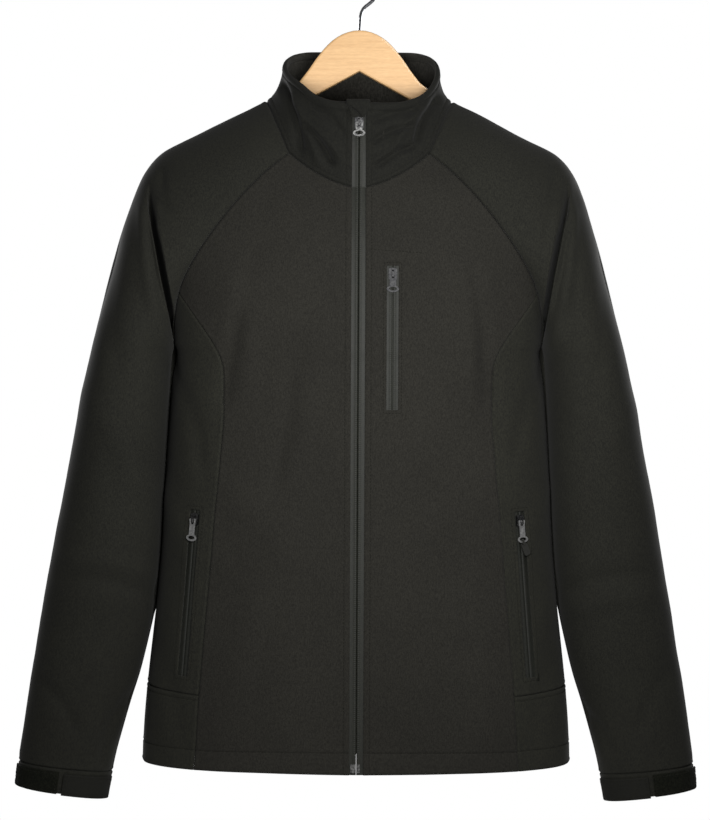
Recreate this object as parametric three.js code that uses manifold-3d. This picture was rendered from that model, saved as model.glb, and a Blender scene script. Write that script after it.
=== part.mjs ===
// A softshell jacket hanging on a wooden hanger.
// Units are millimetres, +Z is up, +X is to the right as the jacket faces the viewer, and +Y is its back.
// The origin is the inside top of the hook's loop, where the rail touches it. "down" is always measured
// from there, so a point's z is minus its down.

import * as THREE from 'three';
import { mergeVertices } from 'three/addons/utils/BufferGeometryUtils.js';
import Module from 'manifold-3d';

const wasm = await Module();
wasm.setup();

// Cloth, gaps and hardware sizes.
const CLOTH = 1.6;
const SEAM_GAP = 0.3;
const TAPE_THICK = 1.2;
const ZIP_HALF_OPENING = 7.3;
const TAPE_HALF_WIDTH = 12.2;
const TAPE_RECESS = CLOTH + 0.7;
const HOOK_WIRE = 3.6;
const WOOD_THICK = 12;

// Body sections: half width at the side seam, depth in front and behind, and how square the section is.
const BODY = [
  { down: 130, half: 240, front: 30, back: 52, square: 2.3 },
  { down: 160, half: 239, front: 44, back: 62, square: 2.3 },
  { down: 198, half: 236, front: 61, back: 72, square: 2.3 },
  { down: 235, half: 224, front: 76, back: 79, square: 2.35 },
  { down: 280, half: 214, front: 87, back: 85, square: 2.45 },
  { down: 330, half: 205, front: 93, back: 89, square: 2.55 },
  { down: 380, half: 197, front: 95, back: 90, square: 2.6 },
  { down: 398, half: 195.5, front: 95, back: 90, square: 2.6 },
  { down: 406, half: 193, front: 95, back: 90, square: 2.6 },
  { down: 418, half: 193.6, front: 94, back: 90, square: 2.6 },
  { down: 440, half: 196.5, front: 94, back: 90, square: 2.6 },
  { down: 500, half: 201, front: 92, back: 88, square: 2.6 },
  { down: 585, half: 205.5, front: 90, back: 86, square: 2.6 },
  { down: 633, half: 208.7, front: 90, back: 86, square: 2.55 },
  { down: 703, half: 216.7, front: 91, back: 86, square: 2.5 },
  { down: 757, half: 222.5, front: 92, back: 87, square: 2.5 },
  { down: 800, half: 226, front: 93, back: 88, square: 2.5 },
  { down: 848, half: 228, front: 94, back: 89, square: 2.5 },
];

// Raglan seam in front, from the neck to the underarm.
const RAGLAN_FRONT = [
  { step: 0, out: 73.6, down: 197.9 },
  { step: 1, out: 93, down: 213.5 },
  { step: 2, out: 112, down: 232 },
  { step: 3, out: 131, down: 253 },
  { step: 4, out: 150, down: 277 },
  { step: 5, out: 167.2, down: 301.4 },
  { step: 6, out: 180.4, down: 323.9 },
  { step: 7, out: 189.2, down: 345.3 },
  { step: 8, out: 193.4, down: 365 },
  { step: 9, out: 195.4, down: 384 },
  { step: 10, out: 195.5, down: 398 },
];

// Raglan seam behind, step for step with the one in front.
const RAGLAN_BACK = [
  { step: 0, out: 60, down: 142 },
  { step: 1, out: 82, down: 168 },
  { step: 2, out: 104, down: 196 },
  { step: 3, out: 124, down: 225 },
  { step: 4, out: 143, down: 256 },
  { step: 5, out: 160, down: 286 },
  { step: 6, out: 175, down: 315 },
  { step: 7, out: 185, down: 341 },
  { step: 8, out: 191, down: 363 },
  { step: 9, out: 195.2, down: 384 },
  { step: 10, out: 195.5, down: 398 },
];

// Top of the shoulder and sleeve, step for step with the seams: the ridge line, how far the sleeve swells
// past a plain curve, and the armhole fold as a place along the section, a depth and a half width.
const SHOULDER = [
  { step: 0, out: 99.5, down: 137.5, swell: 0, round: 1.5, foldAt: 0.6, fold: 0, foldHalf: 0.12 },
  { step: 1, out: 128, down: 151.5, swell: 2, round: 1.8, foldAt: 0.6, fold: 0, foldHalf: 0.12 },
  { step: 2, out: 158, down: 167, swell: 3, round: 2, foldAt: 0.65, fold: 0, foldHalf: 0.12 },
  { step: 3, out: 188, down: 182, swell: 4, round: 2, foldAt: 0.7, fold: 0, foldHalf: 0.11 },
  { step: 4, out: 212, down: 195.5, swell: 6, round: 2, foldAt: 0.75, fold: 2, foldHalf: 0.1 },
  { step: 5, out: 228, down: 214, swell: 11, round: 2, foldAt: 0.76, fold: 7, foldHalf: 0.08 },
  { step: 6, out: 239, down: 238, swell: 18, round: 2.1, foldAt: 0.68, fold: 13, foldHalf: 0.08 },
  { step: 7, out: 249, down: 268, swell: 28, round: 2.1, foldAt: 0.42, fold: 16, foldHalf: 0.09 },
  { step: 8, out: 260, down: 306, swell: 38, round: 2.2, foldAt: 0.2, fold: 11, foldHalf: 0.08 },
  { step: 9, out: 271, down: 350, swell: 49, round: 2.2, foldAt: 0.12, fold: 3, foldHalf: 0.06 },
  { step: 10, out: 282.5, down: 398, swell: 65.5, round: 2.2, foldAt: 0.1, fold: 0, foldHalf: 0.05 },
];

// Sleeve sections below the underarm: inner and outer side, and depth either side of the arm's line.
const SLEEVE = [
  { down: 398, inner: 195.5, outer: 282.5, front: 65.5, back: 65.5 },
  { down: 406, inner: 198, outer: 284.2, front: 65.5, back: 65.2 },
  { down: 418, inner: 199.2, outer: 287, front: 65.4, back: 64.8 },
  { down: 440, inner: 200.6, outer: 292, front: 65, back: 63.8 },
  { down: 500, inner: 203.8, outer: 303.5, front: 63.4, back: 61.4 },
  { down: 585, inner: 208.4, outer: 319, front: 60, back: 58 },
  { down: 633, inner: 211.8, outer: 327.4, front: 57, back: 55 },
  { down: 671, inner: 215.8, outer: 334.4, front: 54, back: 52 },
  { down: 703, inner: 220.8, outer: 339.6, front: 51, back: 49 },
  { down: 746, inner: 231, outer: 346.2, front: 47, back: 45 },
  { down: 778, inner: 241, outer: 350.8, front: 44, back: 42 },
  { down: 806, inner: 249, outer: 354.6, front: 41, back: 40 },
  { down: 838, inner: 257.5, outer: 359.4, front: 39, back: 38 },
  { down: 884, inner: 266.5, outer: 364, front: 38, back: 37 },
];

// Princess seam, from the raglan seam's corner to the hem.
const PRINCESS = [
  { down: 345.3, out: 189.2 },
  { down: 359, out: 179.8 },
  { down: 373.5, out: 169.4 },
  { down: 384, out: 161.8 },
  { down: 393.6, out: 155.3 },
  { down: 402, out: 150 },
  { down: 410.3, out: 145.7 },
  { down: 425, out: 141 },
  { down: 457, out: 140.4 },
  { down: 480, out: 140.6 },
  { down: 510, out: 143 },
  { down: 540, out: 145.7 },
  { down: 587, out: 150.5 },
  { down: 620, out: 153 },
  { down: 648, out: 155.3 },
  { down: 685, out: 158.6 },
  { down: 723, out: 161.8 },
  { down: 766.8, out: 165.3 },
  { down: 795, out: 166.9 },
  { down: 823, out: 168.4 },
  { down: 844.4, out: 170.3 },
];

// Collar rim: how far down it is, by the turn round the neck from the centre front.
const RIM = [
  { turn: 0, down: 145.2 },
  { turn: 18, down: 144.8 },
  { turn: 32, down: 141.5 },
  { turn: 40, down: 137 },
  { turn: 50, down: 130 },
  { turn: 60, down: 122.7 },
  { turn: 72, down: 113.6 },
  { turn: 90, down: 99.5 },
  { turn: 103, down: 91 },
  { turn: 118, down: 84 },
  { turn: 138, down: 79 },
  { turn: 180, down: 76.5 },
];
const RIM_HALF = 82;
const RIM_FRONT = 73;
const RIM_BACK = 63;
const NECK_HALF = 99.5;
const NECK_FRONT = 76;
const NECK_BACK = 57;
const COLLAR_SWELL = 2.4;
const COLLAR_FLARE = 3;

// Large folds in the cloth: a line from one point to another, seen from the front or the back, with its
// half width and its height, which is less than nothing for a hollow.
const BODY_FOLDS = [
  { face: -1, x0: 128, d0: 385, x1: 138, d1: 450, half: 9, high: -3 },
  { face: -1, x0: 128, d0: 350, x1: 118, d1: 420, half: 16, high: 2.5 },
  { face: -1, x0: 60, d0: 300, x1: 150, d1: 330, half: 20, high: 2 },
  { face: -1, x0: 120, d0: 560, x1: 60, d1: 620, half: 24, high: 2.5 },
  { face: -1, x0: 110, d0: 700, x1: 130, d1: 790, half: 22, high: 2.5 },
  { face: 1, x0: 60, d0: 300, x1: 165, d1: 350, half: 22, high: -3 },
  { face: 1, x0: 40, d0: 430, x1: 120, d1: 520, half: 24, high: 3 },
  { face: 1, x0: 100, d0: 640, x1: 60, d1: 760, half: 26, high: 3 },
];

const CROSS_SEAM = { princess: 766.8, side: 758 };
const HEM = { centre: 846.5, princess: 844.4, side: 841 };
const NECKLINE = { centre: 234.7, bow: 5.6, backCentre: 147 };
const CUFF_SEAM = { inner: 854, outer: 843 };
const CUFF_END = { inner: 881, outer: 868 };

// Zips in the cloth: the slit's two ends as seen from the front, and its width.
const CHEST_ZIP = { x0: 35.7, d0: 314.3, x1: 35.7, d1: 467.6, width: 12.4 };
const HAND_ZIP = { x0: 170, d0: 573, x1: 183, d1: 747, width: 10.7 };
const MAIN_SLIDER_DOWN = 168;
const GARAGE = { left: -12.8, right: 10.7, foot: 162.4, top: 142.2, inside: 157, footLean: 3.6 };

// Slider and pull sizes, out from the tape.
const SLIDER = { width: 9, length: 13, lift: 0.6, thick: 3.1 };
const ARCH = { half: 4.2, high: 4.1, bar: 1.1, width: 2 };
const PULL = { thick: 1.3, bar: 1.5, width: 8.4, neck: 6.8, ring: 13, slotHalf: 1.75, slotEnd: 5.2 };
const HINGE_OUT = SLIDER.thick + 1.5;
const HAND_PULL = 23;
const CHEST_PULL = 19;
const MAIN_PULL = 14.5;
const HAND_SLIDER_BELOW = 10;

const COLOURS = {
  chest: '#32312c',
  body: '#2d2c28',
  sleeve: '#272823',
  collar: '#1f201b',
  inside: '#272622',
  tape: '#3e3f39',
  tab: '#171714',
  fuzz: '#151611',
  dark: '#22221f',
  wood: '#fbd5a8',
  steel: '#c4c6c8',
};

const part = new THREE.Group();

function addPiece(name, geometry, colour, roughness = 0.85, metalness = 0) {
  const material = new THREE.MeshStandardMaterial({ color: colour, roughness, metalness });
  const mesh = new THREE.Mesh(geometry, material);
  mesh.name = name;
  part.add(mesh);
  return mesh;
}

// A value between the rows of a table, on a smooth curve through them.
function between(rows, along, column, at) {
  const last = rows.length - 1;
  if (at <= rows[0][along]) return rows[0][column];
  if (at >= rows[last][along]) return rows[last][column];
  const next = rows.findIndex((row) => row[along] > at);
  const slope = (i) => {
    const a = rows[Math.max(i - 1, 0)];
    const b = rows[Math.min(i + 1, last)];
    return (b[column] - a[column]) / (b[along] - a[along]);
  };
  const a = rows[next - 1];
  const b = rows[next];
  const span = b[along] - a[along];
  const t = (at - a[along]) / span;
  const rise = t * t * (3 - 2 * t);
  const leave = slope(next - 1) * span * t * (1 - t) * (1 - t);
  const arrive = slope(next) * span * t * t * (1 - t);
  return a[column] + (b[column] - a[column]) * rise + leave - arrive;
}

const mix = (a, b, t) => a + (b - a) * t;
const power = (value, exponent) => Math.sign(value) * Math.abs(value) ** exponent;
const range = (count) => Array.from({ length: count + 1 }, (_, i) => i / count);

// How far the folds lift a point of the body's front or back.
function foldHeight(folds, face, x, down) {
  let lift = 0;
  for (const fold of folds.filter((row) => row.face === face)) {
    const dx = fold.x1 - fold.x0;
    const dd = fold.d1 - fold.d0;
    const length = Math.hypot(dx, dd);
    const along = ((x - fold.x0) * dx + (down - fold.d0) * dd) / length;
    const across = ((x - fold.x0) * dd - (down - fold.d0) * dx) / length;
    const past = Math.max(-along, along - length, 0);
    lift += fold.high * Math.exp(-((across / fold.half) ** 2) - (past / (2 * fold.half)) ** 2);
  }
  return lift;
}

// A point of the body, by the turn from the centre front (0) past the side seam (90) to the back (180).
function bodyPoint(turn, down) {
  const angle = THREE.MathUtils.degToRad(turn);
  const face = turn <= 90 ? -1 : 1;
  const exponent = 2 / between(BODY, 'down', 'square', down);
  const half = between(BODY, 'down', 'half', down);
  const depth = between(BODY, 'down', face < 0 ? 'front' : 'back', down);
  const x = half * power(Math.sin(angle), exponent);
  const level = Math.abs(power(Math.cos(angle), exponent));
  const lift = foldHeight(BODY_FOLDS, face, x, down) * Math.min(1, level * 2);
  return new THREE.Vector3(x, face * (depth * level + lift), -down);
}

// The turn at which the body's front, or back, is this far out.
function turnAt(out, down, face = -1) {
  const square = between(BODY, 'down', 'square', down);
  const half = between(BODY, 'down', 'half', down);
  const sine = Math.min(1, (Math.abs(out) / half) ** (square / 2));
  const turn = THREE.MathUtils.radToDeg(Math.asin(sine));
  return face < 0 ? turn : 180 - turn;
}

function bodyNormal(turn, down) {
  const step = 0.6;
  const across = bodyPoint(Math.min(turn + step, 180), down).sub(bodyPoint(Math.max(turn - step, 0), down));
  const along = bodyPoint(turn, down + 3).sub(bodyPoint(turn, down - 3));
  return along.cross(across).normalize();
}

// A place on the body, with its outer point and its outward direction.
const onBody = (turn, down) => ({ point: bodyPoint(turn, down), out: bodyNormal(turn, down), turn, down });

function raglanTurn(rows, step, face) {
  return turnAt(between(rows, 'step', 'out', step), between(rows, 'step', 'down', step), face);
}

// One section of the sleeve's top, from the raglan seam (0) to the ridge (1), in front or behind.
function shoulderPoint(face, step, t) {
  const rows = face < 0 ? RAGLAN_FRONT : RAGLAN_BACK;
  const down0 = between(rows, 'step', 'down', step);
  const start = bodyPoint(raglanTurn(rows, step, face), down0);
  const column = (name) => between(SHOULDER, 'step', name, step);
  const round = column('round');
  const level = (1 - t ** round) ** (1 / round);
  const swell = (1 - Math.abs(2 * t - 1) ** 2.2) ** (1 / 2.2);
  const fold = column('fold') * Math.exp(-(((t - column('foldAt')) / column('foldHalf')) ** 2));
  const x = mix(start.x, column('out'), t);
  const y = start.y * level + face * (column('swell') * swell - fold);
  return new THREE.Vector3(x, y, mix(start.z, -column('down'), t));
}

// A point of the sleeve below the underarm, by the turn from its inner side (0) past its front (90).
function sleevePoint(turn, down) {
  const angle = THREE.MathUtils.degToRad(turn);
  const inner = between(SLEEVE, 'down', 'inner', down);
  const outer = between(SLEEVE, 'down', 'outer', down);
  const depth = between(SLEEVE, 'down', turn <= 180 ? 'front' : 'back', down);
  const exponent = 2 / 2.2;
  const x = (inner + outer) / 2 - ((outer - inner) / 2) * power(Math.cos(angle), exponent);
  return new THREE.Vector3(x, -depth * power(Math.sin(angle), exponent), -down);
}

// Outward directions of a grid of points, rows going down and columns going round from front to back.
function gridDirections(points, closed = false) {
  const lastRow = points.length - 1;
  const lastColumn = points[0].length - 1;
  return points.map((row, r) =>
    row.map((_, c) => {
      const wrapLow = closed && c === 0;
      const wrapHigh = closed && c === lastColumn;
      const before = wrapLow ? row[lastColumn - 1] : row[Math.max(c - 1, 0)];
      const after = wrapHigh ? row[1] : row[Math.min(c + 1, lastColumn)];
      const above = points[Math.max(r - 1, 0)][c];
      const below = points[Math.min(r + 1, lastRow)][c];
      return below.clone().sub(above).cross(after.clone().sub(before)).normalize();
    }),
  );
}

// A closed wall of cloth from a grid of places, each an outer point and its outward direction.
// raise moves the whole wall out from the points, or in where it is less than nothing.
function clothWall(grid, { thick = CLOTH, raise = 0, mirror = false, inset = SEAM_GAP / 2 } = {}) {
  const rows = grid.length;
  const columns = grid[0].length;
  const layer = (depth) =>
    grid.map((row) => row.map((place) => place.point.clone().addScaledVector(place.out, raise - depth)));
  const pulledIn = (points) =>
    points.map((row, r) =>
      row.map((point, c) => {
        const moved = point.clone();
        const pull = (other) => moved.addScaledVector(other.clone().sub(point).normalize(), inset);
        if (r === 0) pull(points[1][c]);
        if (r === rows - 1) pull(points[rows - 2][c]);
        if (c === 0) pull(row[1]);
        if (c === columns - 1) pull(row[columns - 2]);
        return moved;
      }),
    );
  const outer = pulledIn(layer(0));
  const inner = pulledIn(layer(thick));
  const positions = [];
  for (const sheet of [outer, inner]) {
    for (const point of sheet.flat()) positions.push(mirror ? -point.x : point.x, point.y, point.z);
  }
  const index = [];
  const at = (sheet, r, c) => sheet * rows * columns + r * columns + c;
  const face = (a, b, c, d) => {
    if (mirror) index.push(a, c, b, a, d, c);
    else index.push(a, b, c, a, c, d);
  };
  for (let r = 0; r < rows - 1; r += 1) {
    for (let c = 0; c < columns - 1; c += 1) {
      face(at(0, r, c), at(0, r + 1, c), at(0, r + 1, c + 1), at(0, r, c + 1));
      face(at(1, r, c), at(1, r, c + 1), at(1, r + 1, c + 1), at(1, r + 1, c));
    }
    face(at(0, r, 0), at(1, r, 0), at(1, r + 1, 0), at(0, r + 1, 0));
    const end = columns - 1;
    face(at(0, r, end), at(0, r + 1, end), at(1, r + 1, end), at(1, r, end));
  }
  for (let c = 0; c < columns - 1; c += 1) {
    face(at(0, 0, c), at(0, 0, c + 1), at(1, 0, c + 1), at(1, 0, c));
    const end = rows - 1;
    face(at(0, end, c), at(1, end, c), at(1, end, c + 1), at(0, end, c + 1));
  }
  const geometry = new THREE.BufferGeometry();
  geometry.setAttribute('position', new THREE.Float32BufferAttribute(positions, 3));
  geometry.setIndex(index);
  return geometry;
}

// Joins and cuts between closed shapes.
function toSolid(geometry) {
  const bare = geometry.clone();
  bare.deleteAttribute('normal');
  bare.deleteAttribute('uv');
  const merged = mergeVertices(bare, 1e-4);
  return new wasm.Manifold(
    new wasm.Mesh({
      numProp: 3,
      vertProperties: new Float32Array(merged.attributes.position.array),
      triVerts: new Uint32Array(merged.index.array),
    }),
  );
}

function toGeometry(solid) {
  const mesh = solid.getMesh();
  const geometry = new THREE.BufferGeometry();
  geometry.setAttribute('position', new THREE.Float32BufferAttribute(mesh.vertProperties, mesh.numProp));
  geometry.setIndex([...mesh.triVerts]);
  return geometry;
}

const cutAway = (whole, cutter) => toGeometry(toSolid(whole).subtract(toSolid(cutter)));
const joined = (first, second) => toGeometry(toSolid(first).add(toSolid(second)));

// Steps along the raglan seam, and the rows below its corner, shared by all that meet there.
const STEPS = [0, 1, 2, 3, 4, 5, 6, 7, 7.5, 8, 8.5, 9, 9.5, 10];
const CORNER_STEP = 7;
const UPPER_STEPS = STEPS.filter((step) => step <= CORNER_STEP);
const ARMHOLE_STEPS = STEPS.filter((step) => step >= CORNER_STEP);
const PRINCESS_DOWNS = PRINCESS.map((row) => row.down);

const princessTurn = (down) => turnAt(between(PRINCESS, 'down', 'out', down), down);
const averaged = (a, b) => a.clone().add(b).normalize();

// The sleeve's top: sections that go from the front seam over the ridge to the back seam.
function sectionPlaces(step) {
  const fold = between(SHOULDER, 'step', 'foldAt', step);
  const half = between(SHOULDER, 'step', 'foldHalf', step);
  const low = Math.max(fold - 1.3 * half, 0.04);
  const high = Math.min(fold + 1.3 * half, 0.93);
  const rest = 1 - high;
  return [0, low * 0.5, low, fold, high, high + rest * 0.4, high + rest * 0.72, high + rest * 0.91, 1];
}

const SECTION_COLUMNS = sectionPlaces(0).length - 1;
const SLEEVE_DOWNS = SLEEVE.map((row) => row.down).filter((down) => down > 400 && down < 840);

// Where a sleeve row lies, between its inner side and its outer side.
function slantedDown(row, turn) {
  const outward = (1 - Math.cos(THREE.MathUtils.degToRad(turn))) / 2;
  return mix(row.inner, row.outer, outward);
}

function sleeveTurns() {
  const front = sectionPlaces(10).map((t) => {
    const across = 2 * t - 1;
    const folded = power(Math.abs(across), 2.2 / 2) * Math.sign(across);
    return THREE.MathUtils.radToDeg(Math.acos(-folded));
  });
  return [...front, ...front.slice(0, -1).reverse().map((turn) => 360 - turn)];
}

const SLEEVE_TURNS = sleeveTurns();

function sleeveGrid() {
  const rows = STEPS.map((step) => {
    const places = sectionPlaces(step);
    const front = places.map((t) => shoulderPoint(-1, step, t));
    const back = places.map((t) => shoulderPoint(1, step, t));
    return [...front, ...back.slice(0, -1).reverse()];
  });
  for (const down of SLEEVE_DOWNS) {
    const slant = Math.max(0, (down - 780) / 60);
    const row = { inner: down + slant * 6, outer: down - slant * 5 };
    rows.push(SLEEVE_TURNS.map((turn) => sleevePoint(turn, slantedDown(row, turn))));
  }
  rows.push(SLEEVE_TURNS.map((turn) => sleevePoint(turn, slantedDown(CUFF_SEAM, turn))));
  return rows;
}

const sleevePoints = sleeveGrid();
const sleeveOut = gridDirections(sleevePoints);
const closedOut = gridDirections(sleevePoints, true);
for (let r = STEPS.length; r < sleevePoints.length; r += 1) sleeveOut[r] = closedOut[r];

// At the seams a wall's edge leans half way between the two pieces that meet there.
function raglanOut(face, index) {
  const step = STEPS[index];
  const rows = face < 0 ? RAGLAN_FRONT : RAGLAN_BACK;
  const body = bodyNormal(raglanTurn(rows, step, face), between(rows, 'step', 'down', step));
  const column = face < 0 ? 0 : sleevePoints[0].length - 1;
  const shared = averaged(body, sleeveOut[index][column]);
  const under = THREE.MathUtils.smoothstep(step, CORNER_STEP, 9.5);
  return shared.multiplyScalar(1 - under).add(new THREE.Vector3(0, 0, -under)).normalize();
}

const RAGLAN_OUT = {
  front: STEPS.map((_, i) => raglanOut(-1, i)),
  back: STEPS.map((_, i) => raglanOut(1, i)),
};

function raglanPlace(face, index) {
  const step = STEPS[index];
  const rows = face < 0 ? RAGLAN_FRONT : RAGLAN_BACK;
  const turn = raglanTurn(rows, step, face);
  const down = between(rows, 'step', 'down', step);
  return { point: bodyPoint(turn, down), out: (face < 0 ? RAGLAN_OUT.front : RAGLAN_OUT.back)[index], turn, down };
}

// Body panels.
const PANEL_COLUMNS = 7;

function frontRow(centreDown, endOut, endDown, bow, end) {
  return range(PANEL_COLUMNS).map((u) => {
    if (end && u === 1) return end;
    const x = mix(ZIP_HALF_OPENING, endOut, u);
    const down = mix(centreDown, endDown, u) + bow * 4 * u * (1 - u);
    return onBody(turnAt(x, down), down);
  });
}

const CENTRE_CORNER_DOWN = 352;

function frontCentreGrid() {
  const rows = UPPER_STEPS.map((step, i) => {
    const t = i / (UPPER_STEPS.length - 1);
    const end = raglanPlace(-1, i);
    const out = between(RAGLAN_FRONT, 'step', 'out', step);
    const bow = NECKLINE.bow * (1 - t) ** 2;
    return frontRow(mix(NECKLINE.centre, CENTRE_CORNER_DOWN, t), out, end.down, bow, end);
  });
  const first = PRINCESS_DOWNS[0];
  const last = PRINCESS_DOWNS[PRINCESS_DOWNS.length - 1];
  for (const row of PRINCESS.slice(1)) {
    const t = (row.down - first) / (last - first);
    rows.push(frontRow(mix(CENTRE_CORNER_DOWN, HEM.centre, t), row.out, row.down, 0));
  }
  return rows;
}

function sideColumns() {
  return ARMHOLE_STEPS.map((step) => {
    const down = between(RAGLAN_FRONT, 'step', 'down', step);
    const start = princessTurn(PRINCESS_DOWNS[0]);
    return { down, share: (raglanTurn(RAGLAN_FRONT, step, -1) - start) / (90 - start) };
  });
}

const SIDE_COLUMNS = sideColumns();

function sideGrid(topDown, bottomDown, downs) {
  const first = downs[0];
  const last = downs[downs.length - 1];
  return downs.map((princess) => {
    const t = (princess - first) / (last - first);
    return SIDE_COLUMNS.map((column) => {
      const down = mix(topDown(column), bottomDown(column), t);
      const start = princessTurn(down);
      return onBody(mix(start, 90, column.share), down);
    });
  });
}

const crossSeamDown = (column) => mix(CROSS_SEAM.princess, CROSS_SEAM.side, column.share);
const hemDown = (column) => mix(HEM.princess, HEM.side, column.share);

function upperSideGrid() {
  const downs = PRINCESS_DOWNS.filter((down) => down <= CROSS_SEAM.princess);
  const rows = sideGrid((column) => column.down, crossSeamDown, downs);
  ARMHOLE_STEPS.forEach((_, c) => {
    rows[0][c] = raglanPlace(-1, UPPER_STEPS.length - 1 + c);
  });
  return rows;
}

function lowerSideGrid() {
  return sideGrid(crossSeamDown, hemDown, PRINCESS_DOWNS.filter((down) => down >= CROSS_SEAM.princess));
}

function backGrid() {
  const side = [...upperSideGrid().slice(1), ...lowerSideGrid().slice(1)].map((row) => row[row.length - 1].down);
  const ends = STEPS.map((_, i) => raglanPlace(1, i));
  for (const down of side) ends.push(onBody(90, down));
  const lastDown = ends[ends.length - 1].down;
  const half = ends.map((end, r) => {
    const fall = (end.down - ends[0].down) / (lastDown - ends[0].down);
    const centreDown = mix(NECKLINE.backCentre, HEM.centre, fall);
    return range(PANEL_COLUMNS).map((u) => {
      if (u === 1) return end;
      const down = mix(centreDown, end.down, u);
      return onBody(mix(180, end.turn, u), down);
    });
  });
  return half.map((row) => {
    const other = row.slice(1).map((place) => mirrored(place));
    return [...row.slice().reverse(), ...other];
  });
}

function mirrored(place) {
  const flip = (v) => new THREE.Vector3(-v.x, v.y, v.z);
  return { ...place, point: flip(place.point), out: flip(place.out) };
}

// The neck seam runs along the first row of the front, of the sleeve and of the back.
function neckPlaces() {
  const front = frontCentreGrid()[0];
  const sleeve = sleevePoints[0].map((point, c) => ({ point, out: sleeveOut[0][c] }));
  const back = backGrid()[0].slice(0, PANEL_COLUMNS + 1);
  return { front, sleeve, back };
}

const NECK = neckPlaces();

function neckLoop() {
  const inner = NECK.sleeve.slice(1, -1);
  return [...NECK.front, ...inner, ...NECK.back];
}

function neckTurn(point) {
  const depth = point.y < 0 ? NECK_FRONT : NECK_BACK;
  return THREE.MathUtils.radToDeg(Math.atan2(point.x / NECK_HALF, -point.y / depth));
}

function rimPoint(turn) {
  const angle = THREE.MathUtils.degToRad(turn);
  const depth = turn <= 90 ? RIM_FRONT : RIM_BACK;
  const x = Math.max(RIM_HALF * Math.sin(angle), 0);
  return new THREE.Vector3(x, -depth * Math.cos(angle), -between(RIM, 'turn', 'down', turn));
}

const COLLAR_ROWS = 4;

// Half of the collar, rows going down from the rim to the neck seam.
function collarHalf() {
  const loop = neckLoop();
  const points = range(COLLAR_ROWS).map((t) =>
    loop.map((place) => {
      const turn = Math.min(neckTurn(place.point), 180);
      const rim = rimPoint(turn);
      if (place === loop[0]) rim.x = ZIP_HALF_OPENING;
      const angle = THREE.MathUtils.degToRad(turn);
      const flare = t ** mix(1, COLLAR_FLARE, Math.sin(angle) ** 3);
      const point = new THREE.Vector3(
        mix(rim.x, place.point.x, flare),
        mix(rim.y, place.point.y, flare),
        mix(rim.z, place.point.z, t),
      );
      const swell = COLLAR_SWELL * Math.sin(Math.PI * t);
      point.x += swell * Math.sin(angle);
      point.y -= swell * Math.cos(angle);
      return point;
    }),
  );
  const out = gridDirections(points);
  return points.map((row, r) => row.map((point, c) => ({ point, out: out[r][c] })));
}

const COLLAR_HALF = collarHalf();
const NECK_OUT = neckLoop().map((place, c) => averaged(place.out, COLLAR_HALF[COLLAR_ROWS][c].out));
COLLAR_HALF[COLLAR_ROWS].forEach((place, c) => {
  place.out = NECK_OUT[c];
});
for (const row of COLLAR_HALF) {
  row[row.length - 1].out.x = 0;
  row[row.length - 1].out.normalize();
}

function wholeCollar(rows, firstColumn) {
  return rows.map((row) => {
    const half = row.slice(firstColumn);
    const other = half.slice(0, -1).map((place) => mirrored(place));
    return [...other, half[half.length - 1], ...half.slice(0, -1).reverse()];
  });
}

// A row that has met the collar leans as the neck seam does.
function leanAtNeck(grid, firstIndex) {
  grid[0].forEach((place, c) => {
    place.out = NECK_OUT[firstIndex + c].clone();
  });
  return grid;
}

// Cutter for a zip's slit, standing out along the cloth's own direction.
function slitPlaces(zip) {
  const middle = { x: (zip.x0 + zip.x1) / 2, down: (zip.d0 + zip.d1) / 2 };
  const low = onBody(turnAt(zip.x1, zip.d1), zip.d1);
  const high = onBody(turnAt(zip.x0, zip.d0), zip.d0);
  return { high, low, middle: onBody(turnAt(middle.x, middle.down), middle.down) };
}

function zipAxes(zip) {
  const { high, low, middle } = slitPlaces(zip);
  const up = high.point.clone().sub(low.point).normalize();
  const across = up.clone().cross(middle.out).normalize();
  const out = across.clone().cross(up).normalize();
  const matrix = new THREE.Matrix4().makeBasis(across, up, out);
  const centre = high.point.clone().add(low.point).multiplyScalar(0.5);
  return { matrix, centre, length: high.point.distanceTo(low.point), up, across, out };
}

function slitCutter(zip) {
  const axes = zipAxes(zip);
  const cutter = new THREE.BoxGeometry(zip.width, axes.length, 60);
  cutter.applyMatrix4(axes.matrix.clone().setPosition(axes.centre));
  return cutter;
}

// Tape behind a slit: a strip of the body's own form, set in from the cloth.
function slitTape(zip, margin, mirror = false) {
  const rows = range(10).map((t) => {
    const down = mix(zip.d0 - margin, zip.d1 + margin, t);
    const centre = mix(zip.x0, zip.x1, (down - zip.d0) / (zip.d1 - zip.d0));
    const half = zip.width / 2 + margin;
    return range(4).map((u) => {
      const x = mix(centre - half, centre + half, u);
      return onBody(turnAt(x, down), down);
    });
  });
  return clothWall(rows, { thick: TAPE_THICK, raise: -TAPE_RECESS, mirror, inset: 0 });
}

// The main zip's line: places at the zip's edge, from the collar's rim to the hem.
function zipLine() {
  const collar = COLLAR_HALF.map((row) => row[0]);
  const front = frontCentreGrid().map((row) => row[0]);
  return [...collar.slice(0, -1), { ...front[0], out: NECK_OUT[0] }, ...front.slice(1)];
}

function mainTape(mirror) {
  const grid = zipLine().map((place) => {
    const out = new THREE.Vector3(0, place.out.y, place.out.z).normalize();
    return range(3).map((u) => {
      const point = place.point.clone();
      point.x = mix(SEAM_GAP / 2, TAPE_HALF_WIDTH, u);
      return { point, out };
    });
  });
  return clothWall(grid, { thick: TAPE_THICK, raise: -TAPE_RECESS, mirror, inset: 0 });
}

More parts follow.
